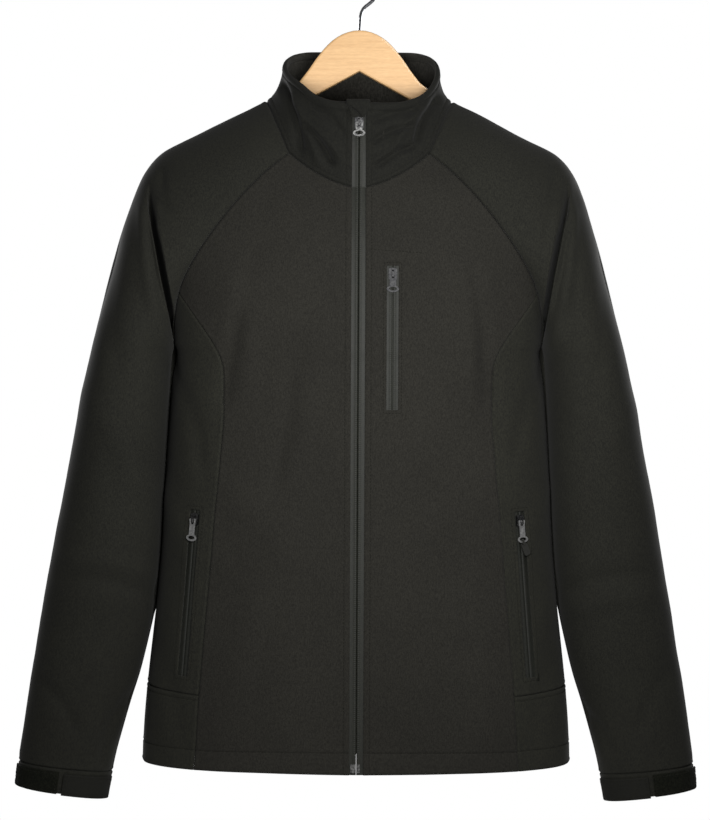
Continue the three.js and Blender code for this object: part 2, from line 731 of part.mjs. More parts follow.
// A slider with its arch, and the pull that swings on it. Their own axes are across, up and out of the tape.
function roundedPlate(width, height, radius) {
  const shape = new THREE.Shape();
  const x = width / 2 - radius;
  const y = height / 2 - radius;
  shape.absarc(x, y, radius, 0, Math.PI / 2);
  shape.absarc(-x, y, radius, Math.PI / 2, Math.PI);
  shape.absarc(-x, -y, radius, Math.PI, Math.PI * 1.5);
  shape.absarc(x, -y, radius, Math.PI * 1.5, Math.PI * 2);
  return shape;
}

function extruded(shape, depth, curveSegments = 4) {
  return new THREE.ExtrudeGeometry(shape, { depth, bevelEnabled: false, curveSegments });
}

function sliderGeometry() {
  const body = extruded(roundedPlate(SLIDER.width, SLIDER.length, 2.4), SLIDER.thick - SLIDER.lift);
  body.translate(0, 0, SLIDER.lift);
  const arch = new THREE.Shape();
  arch.moveTo(-ARCH.half, -0.5);
  arch.lineTo(-ARCH.half, ARCH.high - 1.5);
  arch.lineTo(-ARCH.half + 1.5, ARCH.high);
  arch.lineTo(ARCH.half - 1.5, ARCH.high);
  arch.lineTo(ARCH.half, ARCH.high - 1.5);
  arch.lineTo(ARCH.half, -0.5);
  arch.lineTo(ARCH.half - ARCH.bar, -0.5);
  arch.lineTo(ARCH.half - ARCH.bar, ARCH.high - ARCH.bar);
  arch.lineTo(ARCH.bar - ARCH.half, ARCH.high - ARCH.bar);
  arch.lineTo(ARCH.bar - ARCH.half, -0.5);
  const bar = extruded(arch, ARCH.width);
  bar.translate(0, 0, -ARCH.width / 2);
  bar.applyMatrix4(new THREE.Matrix4().makeBasis(
    new THREE.Vector3(0, 1, 0),
    new THREE.Vector3(0, 0, 1),
    new THREE.Vector3(1, 0, 0),
  ));
  bar.translate(0, 0, SLIDER.thick);
  return joined(body, bar);
}

function pullGeometry(length) {
  const top = PULL.bar / 2;
  const wide = PULL.width / 2;
  const neck = PULL.neck / 2;
  const ring = PULL.ring / 2;
  const ringHigh = 3.6;
  const bottom = -length;
  const shape = new THREE.Shape();
  shape.moveTo(-wide + 1, top);
  shape.lineTo(wide - 1, top);
  shape.lineTo(wide, top - 1);
  shape.lineTo(neck, 0.7 - PULL.slotEnd);
  shape.lineTo(neck, bottom + 2 * ringHigh + 1);
  shape.absellipse(0, bottom + ringHigh, ring, ringHigh, Math.PI * 0.32, -Math.PI * 1.32, true);
  shape.lineTo(-neck, 0.7 - PULL.slotEnd);
  shape.lineTo(-wide, top - 1);
  const slot = new THREE.Path();
  slot.moveTo(-PULL.slotHalf, -top);
  slot.lineTo(-PULL.slotHalf, -PULL.slotEnd);
  slot.lineTo(PULL.slotHalf, -PULL.slotEnd);
  slot.lineTo(PULL.slotHalf, -top);
  const eye = new THREE.Path();
  eye.absellipse(0, bottom + ringHigh + 0.2, ring - 2.4, ringHigh - 1.7, 0, Math.PI * 2, false);
  shape.holes.push(slot, eye);
  const plate = extruded(shape, PULL.thick, 6);
  plate.translate(0, 0, -PULL.thick / 2);
  return plate;
}

// A soft tab on a pull's ring: a narrow strap through the ring, and a blade that hangs to one side.
const TAB = { width: 7.5, length: 12.5, thick: 2, drop: 2.6, strap: 2.6, strapThick: 0.8, lean: 20 };

function pullTabGeometry(length) {
  const bar = 1 - length;
  const gap = TAB.thick / 2 - 0.05;
  const outer = gap + TAB.strapThick;
  const loop = new THREE.Shape();
  loop.moveTo(-outer, -3.6);
  loop.lineTo(-outer, 2.1);
  loop.lineTo(-outer + 0.6, 2.7);
  loop.lineTo(outer - 0.6, 2.7);
  loop.lineTo(outer, 2.1);
  loop.lineTo(outer, -3.6);
  loop.lineTo(gap, -3.6);
  loop.lineTo(gap, 1.9);
  loop.lineTo(-gap, 1.9);
  loop.lineTo(-gap, -3.6);
  const strap = extruded(loop, TAB.strap);
  strap.translate(0, 0, -TAB.strap / 2);
  strap.rotateY(Math.PI / 2);
  const blade = extruded(roundedPlate(TAB.width, TAB.length, 2.2), TAB.thick);
  blade.translate(0, -TAB.drop - TAB.length / 2, -TAB.thick / 2);
  const tab = joined(strap, blade);
  tab.rotateZ(THREE.MathUtils.degToRad(TAB.lean));
  tab.translate(0, bar, 0);
  return tab;
}

// Where a slider sits: on its tape, a little below the slit's upper end.
function sliderSeat(zip, below, mirror) {
  const axes = zipAxes(zip);
  const t = below / axes.length;
  const down = mix(zip.d0, zip.d1, t);
  const place = onBody(turnAt(mix(zip.x0, zip.x1, t), down), down);
  const seat = place.point.clone().addScaledVector(place.out, -TAPE_RECESS);
  const across = axes.up.clone().cross(place.out).normalize();
  const out = across.clone().cross(axes.up).normalize();
  const up = axes.up.clone();
  if (mirror) {
    seat.x = -seat.x;
    out.x = -out.x;
    up.x = -up.x;
    across.set(up.y * out.z - up.z * out.y, up.z * out.x - up.x * out.z, up.x * out.y - up.y * out.x);
  }
  return new THREE.Matrix4().makeBasis(across, up, out).setPosition(seat);
}

function addZipHardware(name, seat, pullLength) {
  const slider = sliderGeometry();
  slider.applyMatrix4(seat);
  addPiece(`${name}_slider`, slider, COLOURS.dark, 0.4, 0.3);
  const pull = pullGeometry(pullLength);
  pull.translate(0, 0, HINGE_OUT);
  pull.applyMatrix4(seat);
  addPiece(`${name}_pull`, pull, COLOURS.dark, 0.4, 0.3);
}

// Body panels, left and right of the zip.
const sleeveOutGrid = sleevePoints.map((row, r) => row.map((point, c) => ({ point, out: sleeveOut[r][c] })));
STEPS.forEach((_, i) => {
  sleeveOutGrid[i][0].out = RAGLAN_OUT.front[i];
  sleeveOutGrid[i][sleevePoints[0].length - 1].out = RAGLAN_OUT.back[i];
});
leanAtNeck(sleeveOutGrid, PANEL_COLUMNS);

const frontCentre = leanAtNeck(frontCentreGrid(), 0);
const upperSide = upperSideGrid();
const lowerSide = lowerSideGrid();

for (const side of [{ name: 'left', mirror: true }, { name: 'right', mirror: false }]) {
  const options = { mirror: side.mirror };
  const centre = clothWall(frontCentre, options);
  const centrePiece = side.mirror ? centre : cutAway(centre, slitCutter(CHEST_ZIP));
  addPiece(`front_centre_${side.name}`, centrePiece, COLOURS.chest);
  const upper = cutAway(clothWall(upperSide), slitCutter(HAND_ZIP));
  addPiece(`front_side_upper_${side.name}`, mirroredGeometry(upper, side.mirror), COLOURS.body);
  addPiece(`front_side_lower_${side.name}`, clothWall(lowerSide, options), COLOURS.body);
  const middle = SECTION_COLUMNS + 1;
  const frontHalf = sleeveOutGrid.map((row) => row.slice(0, middle));
  const backHalf = sleeveOutGrid.map((row) => row.slice(middle - 1));
  addPiece(`sleeve_front_${side.name}`, clothWall(frontHalf, options), COLOURS.sleeve);
  addPiece(`sleeve_back_${side.name}`, clothWall(backHalf, options), COLOURS.sleeve);
  addCuff(side);
  addPiece(`main_zip_tape_${side.name}`, mainTape(side.mirror), COLOURS.tape, 0.6);
  addPiece(`hand_zip_tape_${side.name}`, slitTape(HAND_ZIP, 4, side.mirror), COLOURS.tape, 0.6);
  addZipHardware(`hand_zip_${side.name}`, sliderSeat(HAND_ZIP, HAND_SLIDER_BELOW, side.mirror), HAND_PULL);
}

function mirroredGeometry(geometry, mirror) {
  if (!mirror) return geometry;
  const flipped = geometry.clone();
  flipped.scale(-1, 1, 1);
  const index = [...flipped.index.array];
  for (let i = 0; i < index.length; i += 3) {
    [index[i + 1], index[i + 2]] = [index[i + 2], index[i + 1]];
  }
  flipped.setIndex(index);
  return flipped;
}

// Cuff band with its tab and its hook-and-loop strip.
function cuffGrid(turns, top, bottom, rows = 3) {
  const points = range(rows).map((t) =>
    turns.map((turn) => sleevePoint(turn, mix(slantedDown(top, turn), slantedDown(bottom, turn), t))),
  );
  const out = gridDirections(points);
  return points.map((row, r) => row.map((point, c) => ({ point, out: out[r][c] })));
}

function addCuff(side) {
  const band = cuffGrid(SLEEVE_TURNS, CUFF_SEAM, CUFF_END);
  const last = SLEEVE_TURNS.length - 1;
  for (const row of band) {
    const shared = averaged(row[0].out, row[last].out);
    row[0].out = shared;
    row[last].out = shared.clone();
  }
  addPiece(`cuff_band_${side.name}`, clothWall(band, { mirror: side.mirror }), COLOURS.sleeve);
  const lift = { mirror: side.mirror, raise: 2, thick: 1.5, inset: 0 };
  const lowered = (row, by) => ({ inner: row.inner + by, outer: row.outer + by });
  const strip = cuffGrid(range(7).map((t) => mix(92, 172, t)), lowered(CUFF_SEAM, 3), lowered(CUFF_END, 0.5));
  addPiece(`cuff_strip_${side.name}`, clothWall(strip, lift), COLOURS.fuzz, 1);
  const tab = cuffGrid(range(8).map((t) => mix(6, 88, t)), lowered(CUFF_SEAM, 5), lowered(CUFF_END, 1.5));
  addPiece(`cuff_tab_${side.name}`, clothWall(tab, lift), COLOURS.tab, 0.7);
}

addPiece('back', clothWall(leanAtNeckBack(backGrid())), COLOURS.body);

function leanAtNeckBack(grid) {
  const count = PANEL_COLUMNS;
  const first = neckLoop().length - 1 - count;
  grid[0].forEach((place, c) => {
    const lean = NECK_OUT[first + (c <= count ? c : 2 * count - c)].clone();
    if (c > count) lean.x = -lean.x;
    place.out = lean;
  });
  return grid;
}

// Collar in two layers, the inner one clear of the zip's tapes.
addPiece('collar_outer', clothWall(wholeCollar(COLLAR_HALF, 0).map((row) => row.reverse())), COLOURS.collar);
const innerRows = COLLAR_HALF.slice(0, COLLAR_ROWS);
const innerCollar = wholeCollar(innerRows, 2).map((row) => row.reverse());
const innerRaise = -(CLOTH + SEAM_GAP);
addPiece('collar_inner', clothWall(innerCollar, { raise: innerRaise, thick: 1.3 }), COLOURS.inside);

const handTab = pullTabGeometry(HAND_PULL);
handTab.translate(0, 0, HINGE_OUT);
handTab.applyMatrix4(sliderSeat(HAND_ZIP, HAND_SLIDER_BELOW, false));
addPiece('hand_zip_right_tab', handTab, COLOURS.tab, 0.6);

addPiece('chest_zip_tape', slitTape(CHEST_ZIP, 4.5), COLOURS.tape, 0.6);
addZipHardware('chest_zip', sliderSeat(CHEST_ZIP, 12, false), CHEST_PULL);

// Main zip's slider on the collar.
function mainSeat() {
  const line = zipLine().slice(0, COLLAR_ROWS + 1);
  const next = line.findIndex((place) => -place.point.z > MAIN_SLIDER_DOWN);
  const a = line[next - 1].point;
  const b = line[next].point;
  const up = new THREE.Vector3(0, a.y - b.y, a.z - b.z).normalize();
  const across = new THREE.Vector3(1, 0, 0);
  const out = across.clone().cross(up).normalize();
  const t = (MAIN_SLIDER_DOWN + a.z) / (a.z - b.z);
  const seat = new THREE.Vector3(0, mix(a.y, b.y, t), mix(a.z, b.z, t)).addScaledVector(out, -TAPE_RECESS);
  return new THREE.Matrix4().makeBasis(across, up, out).setPosition(seat);
}

addZipHardware('main_zip', mainSeat(), MAIN_PULL);

// Bottom stops of the main zip.
function zipStop(name, x, width, colour) {
  const line = zipLine();
  const place = line[line.length - 1];
  const box = new THREE.BoxGeometry(width, 2.4, 9);
  box.translate(x, place.point.y + TAPE_RECESS - 1.6, place.point.z + 7);
  addPiece(name, box, colour, 0.35, 0.8);
}

zipStop('main_zip_box', -3.2, 5.8, COLOURS.steel);
zipStop('main_zip_pin', 2.4, 3, COLOURS.steel);

// Zip garage: a strip of cloth folded over the front of the rim.
function garageGeometry() {
  const shape = new THREE.Shape();
  const thick = 1.4;
  const outer = RIM_FRONT + 1.7;
  const inner = RIM_FRONT - 6.5;
  shape.moveTo(outer + GARAGE.footLean, GARAGE.foot);
  shape.lineTo(outer, GARAGE.top + 4);
  shape.quadraticCurveTo(outer - 1, GARAGE.top, (outer + inner) / 2, GARAGE.top);
  shape.quadraticCurveTo(inner + 1, GARAGE.top, inner, GARAGE.top + 4);
  shape.lineTo(inner, GARAGE.inside);
  shape.lineTo(inner + thick, GARAGE.inside);
  shape.lineTo(inner + thick, GARAGE.top + 4.4);
  shape.quadraticCurveTo(inner + thick + 0.6, GARAGE.top + thick, (outer + inner) / 2, GARAGE.top + thick);
  shape.quadraticCurveTo(outer - thick - 0.6, GARAGE.top + thick, outer - thick, GARAGE.top + 4.4);
  shape.lineTo(outer + GARAGE.footLean - thick, GARAGE.foot);
  const strip = extruded(shape, GARAGE.right - GARAGE.left, 5);
  strip.applyMatrix4(new THREE.Matrix4().makeBasis(
    new THREE.Vector3(0, -1, 0),
    new THREE.Vector3(0, 0, -1),
    new THREE.Vector3(1, 0, 0),
  ));
  strip.translate(GARAGE.left, 0, 0);
  return strip;
}

addPiece('zip_garage', garageGeometry(), COLOURS.collar);

// Wooden hanger: half of its outline from the top of the arch to the shoulder and back under.
const HANGER_TOP = [
  { out: 0, down: 61.8 },
  { out: 6.3, down: 62.3 },
  { out: 12.6, down: 63.9 },
  { out: 18.5, down: 66.2 },
  { out: 24, down: 69.3 },
  { out: 29.3, down: 73.2 },
  { out: 34.2, down: 77.8 },
  { out: 38.9, down: 83 },
  { out: 46.8, down: 93.1 },
  { out: 54.5, down: 104.5 },
  { out: 64.5, down: 117.5 },
  { out: 80, down: 129.6 },
  { out: 100, down: 141 },
  { out: 128, down: 154.3 },
  { out: 158, down: 169.6 },
  { out: 188, down: 184.8 },
  { out: 204, down: 194.6 },
  { out: 212, down: 203 },
];
const HANGER_UNDER = [
  { out: 206, down: 214 },
  { out: 150, down: 190 },
  { out: 100, down: 165 },
  { out: 46, down: 131 },
  { out: 0, down: 105.6 },
];

function hangerGeometry() {
  const half = [...HANGER_TOP, ...HANGER_UNDER];
  const other = half.slice(1, -1).reverse().map((row) => ({ out: -row.out, down: row.down }));
  const shape = new THREE.Shape();
  [...half, ...other].forEach((row, i) => {
    if (i === 0) shape.moveTo(row.out, -row.down);
    else shape.lineTo(row.out, -row.down);
  });
  const bevel = 2;
  const wood = new THREE.ExtrudeGeometry(shape, {
    depth: WOOD_THICK - 2 * bevel,
    bevelThickness: bevel,
    bevelSize: bevel,
    bevelOffset: -bevel,
    bevelSegments: 2,
  });
  wood.translate(0, 0, -WOOD_THICK / 2 + bevel);
  wood.rotateX(Math.PI / 2);
  return wood;
}

// Hook: the stem leans over to the right and goes round the loop, which opens to the left.
const LOOP_RADIUS = 17;

function hookGeometry() {
  const wire = LOOP_RADIUS + HOOK_WIRE / 2;
  const stem = [
    new THREE.Vector3(0, 0, SEAM_GAP - HANGER_TOP[0].down),
    new THREE.Vector3(0.5, 0, -52),
    new THREE.Vector3(1.5, 0, -44),
    new THREE.Vector3(4.5, 0, -37.5),
  ];
  const round = range(12).map((t) => {
    const angle = THREE.MathUtils.degToRad(mix(-57, 200, t));
    return new THREE.Vector3(wire * Math.cos(angle), 0, -LOOP_RADIUS + wire * Math.sin(angle));
  });
  const path = new THREE.CatmullRomCurve3([...stem, ...round], false, 'centripetal');
  const section = new THREE.Shape();
  section.absarc(0, 0, HOOK_WIRE / 2, 0, Math.PI * 2);
  return new THREE.ExtrudeGeometry(section, { extrudePath: path, steps: 34, curveSegments: 4 });
}

addPiece('hanger_wood', hangerGeometry(), COLOURS.wood, 0.5);
addPiece('hanger_hook', hookGeometry(), COLOURS.steel, 0.25, 1);

export default part;
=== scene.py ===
"""A softshell jacket on a wooden hanger: cloth, seams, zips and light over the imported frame.

Sizes are millimetres until they reach a mesh, which is in metres. +X is to the right as the jacket faces
the viewer, -Y is its front and +Z is up. "down" is measured from the rail, so z is minus down.
"""

import math

import bmesh
import bpy
import numpy as np
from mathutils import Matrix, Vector
from mathutils.bvhtree import BVHTree


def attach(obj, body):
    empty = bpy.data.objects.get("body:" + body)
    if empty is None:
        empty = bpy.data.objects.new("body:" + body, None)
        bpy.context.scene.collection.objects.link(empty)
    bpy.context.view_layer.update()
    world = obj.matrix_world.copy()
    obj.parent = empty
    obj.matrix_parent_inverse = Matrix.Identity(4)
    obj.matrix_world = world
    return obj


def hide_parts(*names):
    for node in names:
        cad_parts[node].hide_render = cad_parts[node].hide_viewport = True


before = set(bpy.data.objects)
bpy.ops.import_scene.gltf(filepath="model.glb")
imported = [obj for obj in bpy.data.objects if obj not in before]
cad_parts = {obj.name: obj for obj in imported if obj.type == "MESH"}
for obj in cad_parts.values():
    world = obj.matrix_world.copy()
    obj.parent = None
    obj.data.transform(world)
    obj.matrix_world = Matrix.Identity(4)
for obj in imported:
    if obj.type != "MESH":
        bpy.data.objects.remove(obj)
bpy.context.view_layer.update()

MM = 0.001
CLOTH = 1.6
SEAM_GAP = 0.3
THREAD_PROUD = 0.12

# The zips: the slit between the fronts, the tapes set in behind the cloth and the pitch of their teeth
ZIP_HALF_OPENING = 7.3
TAPE_THICK = 1.2
TAPE_RECESS = CLOTH + 0.7
TAPE_HALF = 12.2
TAPE_MARGIN = 4.5
TAPE_ACROSS = np.array([0, 0.4, 0.9, 1.4, 1.9, 2.4, 2.9, 3.6, 4.8, 6.2])
COIL_PITCH = 2.0

# Steps along the raglan seam, and where others meet it: the princess seam, the underarm and the back's neck
CORNER_STEP, LAST_STEP = 7, 10
CORNER, UNDERARM, BACK_TOP = 345.3, 398, 142

# The part of a panel's height, from its top, that lies along the raglan seam
FRONT_SHARE = 0.26
BACK_SHARE = 0.36
SLEEVE_SHARE = 0.33

# How much of the solid's broad fold stays beside the armhole, how much closer the columns stand in the
# sharp one that is pressed into the cloth there, how far that one leans, and the rows eased at the kink
BROAD_FOLD = 0.3
FOLD_CROWDING = 5
FOLD_ASLANT = 0.14
KINK_REACH = 30

# How near its seams a panel's unevenness has faded out
SEAM_QUIET, FRONT_QUIET = 25, 30

# How far below the armhole a side panel's top edge is brought on to the raglan seam
ARMHOLE_EASE = 45

# The grid on which a panel is measured before its rows and columns are placed
COARSE_U, COARSE_V = 161, 121


class Table:
    """Rows of sizes, read between by a smooth curve through them."""

    def __init__(self, names, *rows):
        self.names = names.split()
        self.rows = np.array(rows, float)

    def at(self, name, where):
        keys = self.rows[:, 0]
        values = self.rows[:, self.names.index(name)]
        where = np.clip(np.asarray(where, float), keys[0], keys[-1])
        low = np.clip(np.searchsorted(keys, where, side="right") - 1, 0, len(keys) - 2)
        count = len(keys)
        before = np.maximum(np.arange(count) - 1, 0)
        after = np.minimum(np.arange(count) + 1, count - 1)
        slopes = (values[after] - values[before]) / (keys[after] - keys[before])
        span = keys[low + 1] - keys[low]
        t = (where - keys[low]) / span
        rise = t * t * (3 - 2 * t)
        leave = slopes[low] * span * t * (1 - t) ** 2
        arrive = slopes[low + 1] * span * t * t * (1 - t)
        return values[low] + (values[low + 1] - values[low]) * rise + leave - arrive


# Sizes of the garment
BODY = Table(
    "down half front back square",
    (130, 240, 30, 52, 2.3), (160, 239, 44, 62, 2.3), (198, 236, 61, 72, 2.3),
    (235, 224, 76, 79, 2.35), (280, 214, 87, 85, 2.45), (330, 205, 93, 89, 2.55),
    (380, 197, 95, 90, 2.6), (398, 195.5, 95, 90, 2.6), (406, 193, 95, 90, 2.6),
    (418, 193.6, 94, 90, 2.6), (440, 196.5, 94, 90, 2.6), (500, 201, 92, 88, 2.6),
    (585, 205.5, 90, 86, 2.6), (633, 208.7, 90, 86, 2.55), (703, 216.7, 91, 86, 2.5),
    (757, 222.5, 92, 87, 2.5), (800, 226, 93, 88, 2.5), (848, 228, 94, 89, 2.5),
)
RAGLAN_FRONT = Table(
    "step out down",
    (0, 73.6, 197.9), (1, 93, 213.5), (2, 112, 232), (3, 131, 253), (4, 150, 277),
    (5, 167.2, 301.4), (6, 180.4, 323.9), (7, 189.2, 345.3), (8, 193.4, 365), (9, 195.4, 384),
    (10, 195.5, 398),
)
RAGLAN_BACK = Table(
    "step out down",
    (0, 60, 142), (1, 82, 168), (2, 104, 196), (3, 124, 225), (4, 143, 256), (5, 160, 286),
    (6, 175, 315), (7, 185, 341), (8, 191, 363), (9, 195.2, 384), (10, 195.5, 398),
)
SHOULDER = Table(
    "step out down swell round fold_at fold fold_half",
    (0, 99.5, 137.5, 0, 1.5, 0.6, 0, 0.12), (1, 128, 151.5, 2, 1.8, 0.6, 0, 0.12),
    (2, 158, 167, 3, 2, 0.65, 0, 0.12), (3, 188, 182, 4, 2, 0.7, 0, 0.11),
    (4, 212, 195.5, 6, 2, 0.75, 2, 0.1), (5, 228, 214, 11, 2, 0.76, 7, 0.08),
    (6, 239, 238, 18, 2.1, 0.68, 13, 0.08), (7, 249, 268, 28, 2.1, 0.42, 16, 0.09),
    (8, 260, 306, 38, 2.2, 0.2, 11, 0.08), (9, 271, 350, 49, 2.2, 0.12, 3, 0.06),
    (10, 282.5, 398, 65.5, 2.2, 0.1, 0, 0.05),
)
SLEEVE = Table(
    "down inner outer front back",
    (398, 195.5, 282.5, 65.5, 65.5), (406, 198, 284.2, 65.5, 65.2),
    (418, 199.2, 287, 65.4, 64.8), (440, 200.6, 292, 65, 63.8), (500, 203.8, 303.5, 63.4, 61.4),
    (585, 208.4, 319, 60, 58), (633, 211.8, 327.4, 57, 55), (671, 215.8, 334.4, 54, 52),
    (703, 220.8, 339.6, 51, 49), (746, 231, 346.2, 47, 45), (778, 241, 350.8, 44, 42),
    (806, 249, 354.6, 41, 40), (838, 257.5, 359.4, 39, 38), (884, 266.5, 364, 38, 37),
)
PRINCESS = Table(
    "down out",
    (345.3, 189.2), (359, 179.8), (373.5, 169.4), (384, 161.8), (393.6, 155.3), (402, 150),
    (410.3, 145.7), (425, 141), (457, 140.4), (480, 140.6), (510, 143), (540, 145.7),
    (587, 150.5), (620, 153), (648, 155.3), (685, 158.6), (723, 161.8), (766.8, 165.3),
    (795, 166.9), (823, 168.4), (844.4, 170.3),
)
RIM = Table(
    "turn down",
    (0, 145.2), (18, 144.8), (32, 141.5), (40, 137), (50, 130), (60, 122.7), (72, 113.6),
    (90, 99.5), (103, 91), (118, 84), (138, 79), (180, 76.5),
)
RIM_HALF, RIM_FRONT, RIM_BACK = 82, 73, 63
NECK_HALF, NECK_FRONT, NECK_BACK = 99.5, 76, 57
COLLAR_SWELL = 2.4
COLLAR_FLARE = 3
RIM_TILT = 6
RIM_SHIFT = 2.2
CROSS_SEAM = {"princess": 766.8, "side": 758}
HEM = {"centre": 846.5, "princess": 844.4, "side": 841}
NECKLINE = {"centre": 234.7, "bow": 5.6, "back": 147}
CENTRE_AT_CORNER = 352
CUFF_SEAM = {"inner": 854, "outer": 843}
CUFF_END = {"inner": 881, "outer": 868}
CHEST_ZIP = {"x0": 35.7, "d0": 317.6, "x1": 35.7, "d1": 467.6, "width": 12.4}
HAND_ZIP = {"x0": 170, "d0": 573, "x1": 183, "d1": 747, "width": 10.7}
GARAGE = {"left": -12.8, "right": 10.7, "foot": 162.4, "top": 144.0, "inside": 157, "foot_lean": 3.6,
          "foot_left": -7.5, "foot_right": 5.5}

# Folds and creases, each a line seen from the front or the back: its two ends, its bend in the middle, its
# half width and its height, which is under nothing for a hollow. The broad ones are on both sides.
BODY_FOLDS_FRONT = [
    (128, 385, 138, 450, 0, 9, -3.0), (128, 350, 118, 420, 0, 16, 2.5),
    (60, 300, 150, 330, 0, 20, 2.0), (120, 560, 60, 620, 0, 24, 2.5),
    (110, 700, 130, 790, 0, 22, 2.5),
]
BODY_FOLDS_BACK = [
    (60, 300, 165, 350, 0, 22, -3.0), (40, 430, 120, 520, 0, 24, 3.0),
    (100, 640, 60, 760, 0, 26, 3.0),
]
FRONT_CREASES = [
    (-41, 405, -82, 613, 4, 15, 2.0), (-70, 440, -84, 535, 2, 8, -1.8),
    (-110, 318, -128, 398, -3, 9, -1.4), (-95, 700, -120, 790, 0, 16, -1.6),
    (122, 332, 134, 468, 5, 7, -2.2), (108, 330, 117, 455, 4, 9, 1.8),
    (84, 628, 104, 691, 0, 9, 1.6), (60, 520, 96, 640, 4, 16, -1.6),
    (42, 700, 70, 800, 0, 18, 1.4),
]
SIDE_CREASES = [
    (-196, 430, -165, 520, 6, 9, -2.2), (-205, 560, -172, 640, 4, 12, 2.0),
    (-212, 720, -185, 800, 3, 12, -1.8), (198, 425, 168, 505, -6, 9, -2.2),
    (206, 548, 175, 632, -4, 12, 2.0), (213, 705, 190, 795, -3, 12, -1.8),
]
BACK_CREASES = [
    (-150, 330, -40, 420, 10, 18, -3.0), (-160, 400, -60, 520, 8, 16, 2.4),
    (-60, 600, -20, 760, 5, 22, 2.2), (-140, 640, -110, 800, 4, 14, -2.2),
    (150, 320, 50, 430, -10, 18, -3.0), (155, 415, 70, 510, -8, 15, 2.4),
    (70, 580, 30, 740, -5, 22, 2.2), (130, 650, 118, 790, -4, 14, -2.2),
    (-70, 200, 70, 204, -8, 12, -1.6),
]
SLEEVE_CREASES = [
    (-226, 262, -206, 394, -4, 7, 3.2), (-208, 220, -204, 256, 0, 3.5, -2.2),
    (-221, 236, -214, 268, 0, 3.5, -1.8), (-262, 300, -252, 420, -4, 12, -2.4),
    (-300, 648, -230, 660, 5, 9, -2.4), (-296, 626, -236, 636, 4, 9, 2.0),
    (-276, 470, -232, 540, 6, 14, 2.0), (-244, 776, -268, 836, -5, 6, -2.6),
    (-330, 760, -300, 800, 4, 8, -2.0), (226, 262, 206, 394, 4, 7, 3.2),
    (207, 216, 197, 282, 0, 3.5, -2.2), (221, 236, 210, 284, 0, 3.5, -1.8),
    (229, 236, 221, 384, 3, 6, -1.8), (262, 310, 250, 430, 4, 12, -2.2),
    (296, 640, 232, 652, -5, 9, -2.4), (300, 664, 240, 676, -4, 9, 2.0),
    (280, 480, 236, 556, -6, 14, 2.0), (240, 786, 266, 822, 4, 6, -2.6),
    (326, 748, 302, 796, -4, 8, -2.0),
]
SLEEVE_BACK_CREASES = [
    (-236, 250, -205, 380, -5, 9, -5.0), (-255, 300, -222, 430, -5, 12, 3.0),
    (-300, 600, -228, 640, 8, 10, -4.0), (-310, 640, -236, 668, 6, 9, 3.0),
    (-300, 690, -250, 716, 5, 9, -3.0), (-282, 440, -230, 500, 7, 14, 2.4),
    (236, 255, 205, 385, 5, 9, -5.0), (255, 305, 222, 430, 5, 12, 3.0),
    (302, 590, 228, 632, -8, 10, -4.0), (312, 632, 236, 660, -6, 9, 3.0),
    (302, 684, 252, 710, -5, 9, -3.0), (282, 450, 230, 506, -7, 14, 2.4),
]
COLLAR_CREASES = [
    (-82, 124, -62, 190, 3, 4.0, -7.5), (-55, 172, -31, 206, 2, 3.6, -7.5),
    (-70, 144, -44, 202, 3, 4.8, 4.0), (-44, 150, -20, 176, 2, 5, -3.4),
    (-42, 180, -22, 200, 2, 4, 2.8), (80, 142, 62, 180, -3, 3.8, -7.5),
    (52, 193, 24, 209, -2, 3.4, -6.5), (69, 148, 40, 187, -3, 4.8, 4.4),
    (50, 171, 19, 184, -2, 3.4, -6.0), (54, 153, 20, 163, -2, 4.2, -5.0),
    (42, 198, 20, 206, -2, 3.4, 2.6),
]

# The deep fold beside each armhole, seen from the front: its line, its half width and its depth
ARMHOLE_FOLD = {
    -1: Table(
        "down x half deep",
        (236, 222, 2.0, 0), (253, 219.5, 2.2, 14), (264, 217, 2.4, 26), (274, 214.5, 2.8, 34),
        (300, 208.5, 3.3, 44), (326, 203.6, 3.2, 46), (353, 199.1, 2.8, 44), (378, 195.6, 2.6, 34),
        (392, 194.4, 2.4, 20), (402, 194.2, 2.2, 0),
    ),
    1: Table(
        "down x half deep",
        (232, 222, 2.0, 0), (248, 219.5, 2.2, 14), (259, 216.8, 2.4, 26), (270, 213.6, 2.8, 34),
        (296, 207.4, 3.3, 44), (322, 202.4, 3.2, 46), (350, 198.4, 2.8, 44), (376, 195.4, 2.6, 34),
        (392, 194.4, 2.4, 20), (402, 194.2, 2.2, 0),
    ),
}


# Curves between the sizes
def mix(a, b, t):
    return a + (b - a) * t


def power(value, exponent):
    return np.sign(value) * np.abs(value) ** exponent


def smooth(t):
    t = np.clip(t, 0, 1)
    return t * t * (3 - 2 * t)


def bell(t):
    """A soft hill: 1 in the middle, and near nothing at twice its half width."""
    return np.exp(-(t**2))


def split(v, share):
    """How far down the upper part of a panel v is, and how far down the part below it."""
    return np.clip(v / share, 0, 1), np.clip((v - share) / (1 - share), 0, 1)


def unit(vectors):
    return vectors / np.maximum(np.linalg.norm(vectors, axis=-1, keepdims=True), 1e-9)


def run_along(points):
    """How far along a line of points each of them lies."""
    return np.concatenate([[0], np.linalg.norm(np.diff(points, axis=0), axis=1).cumsum()])


def at_run(where, run, points):
    """The places on a line of points that are so far along it."""
    return np.stack([np.interp(where, run, points[:, k]) for k in range(3)], axis=-1)


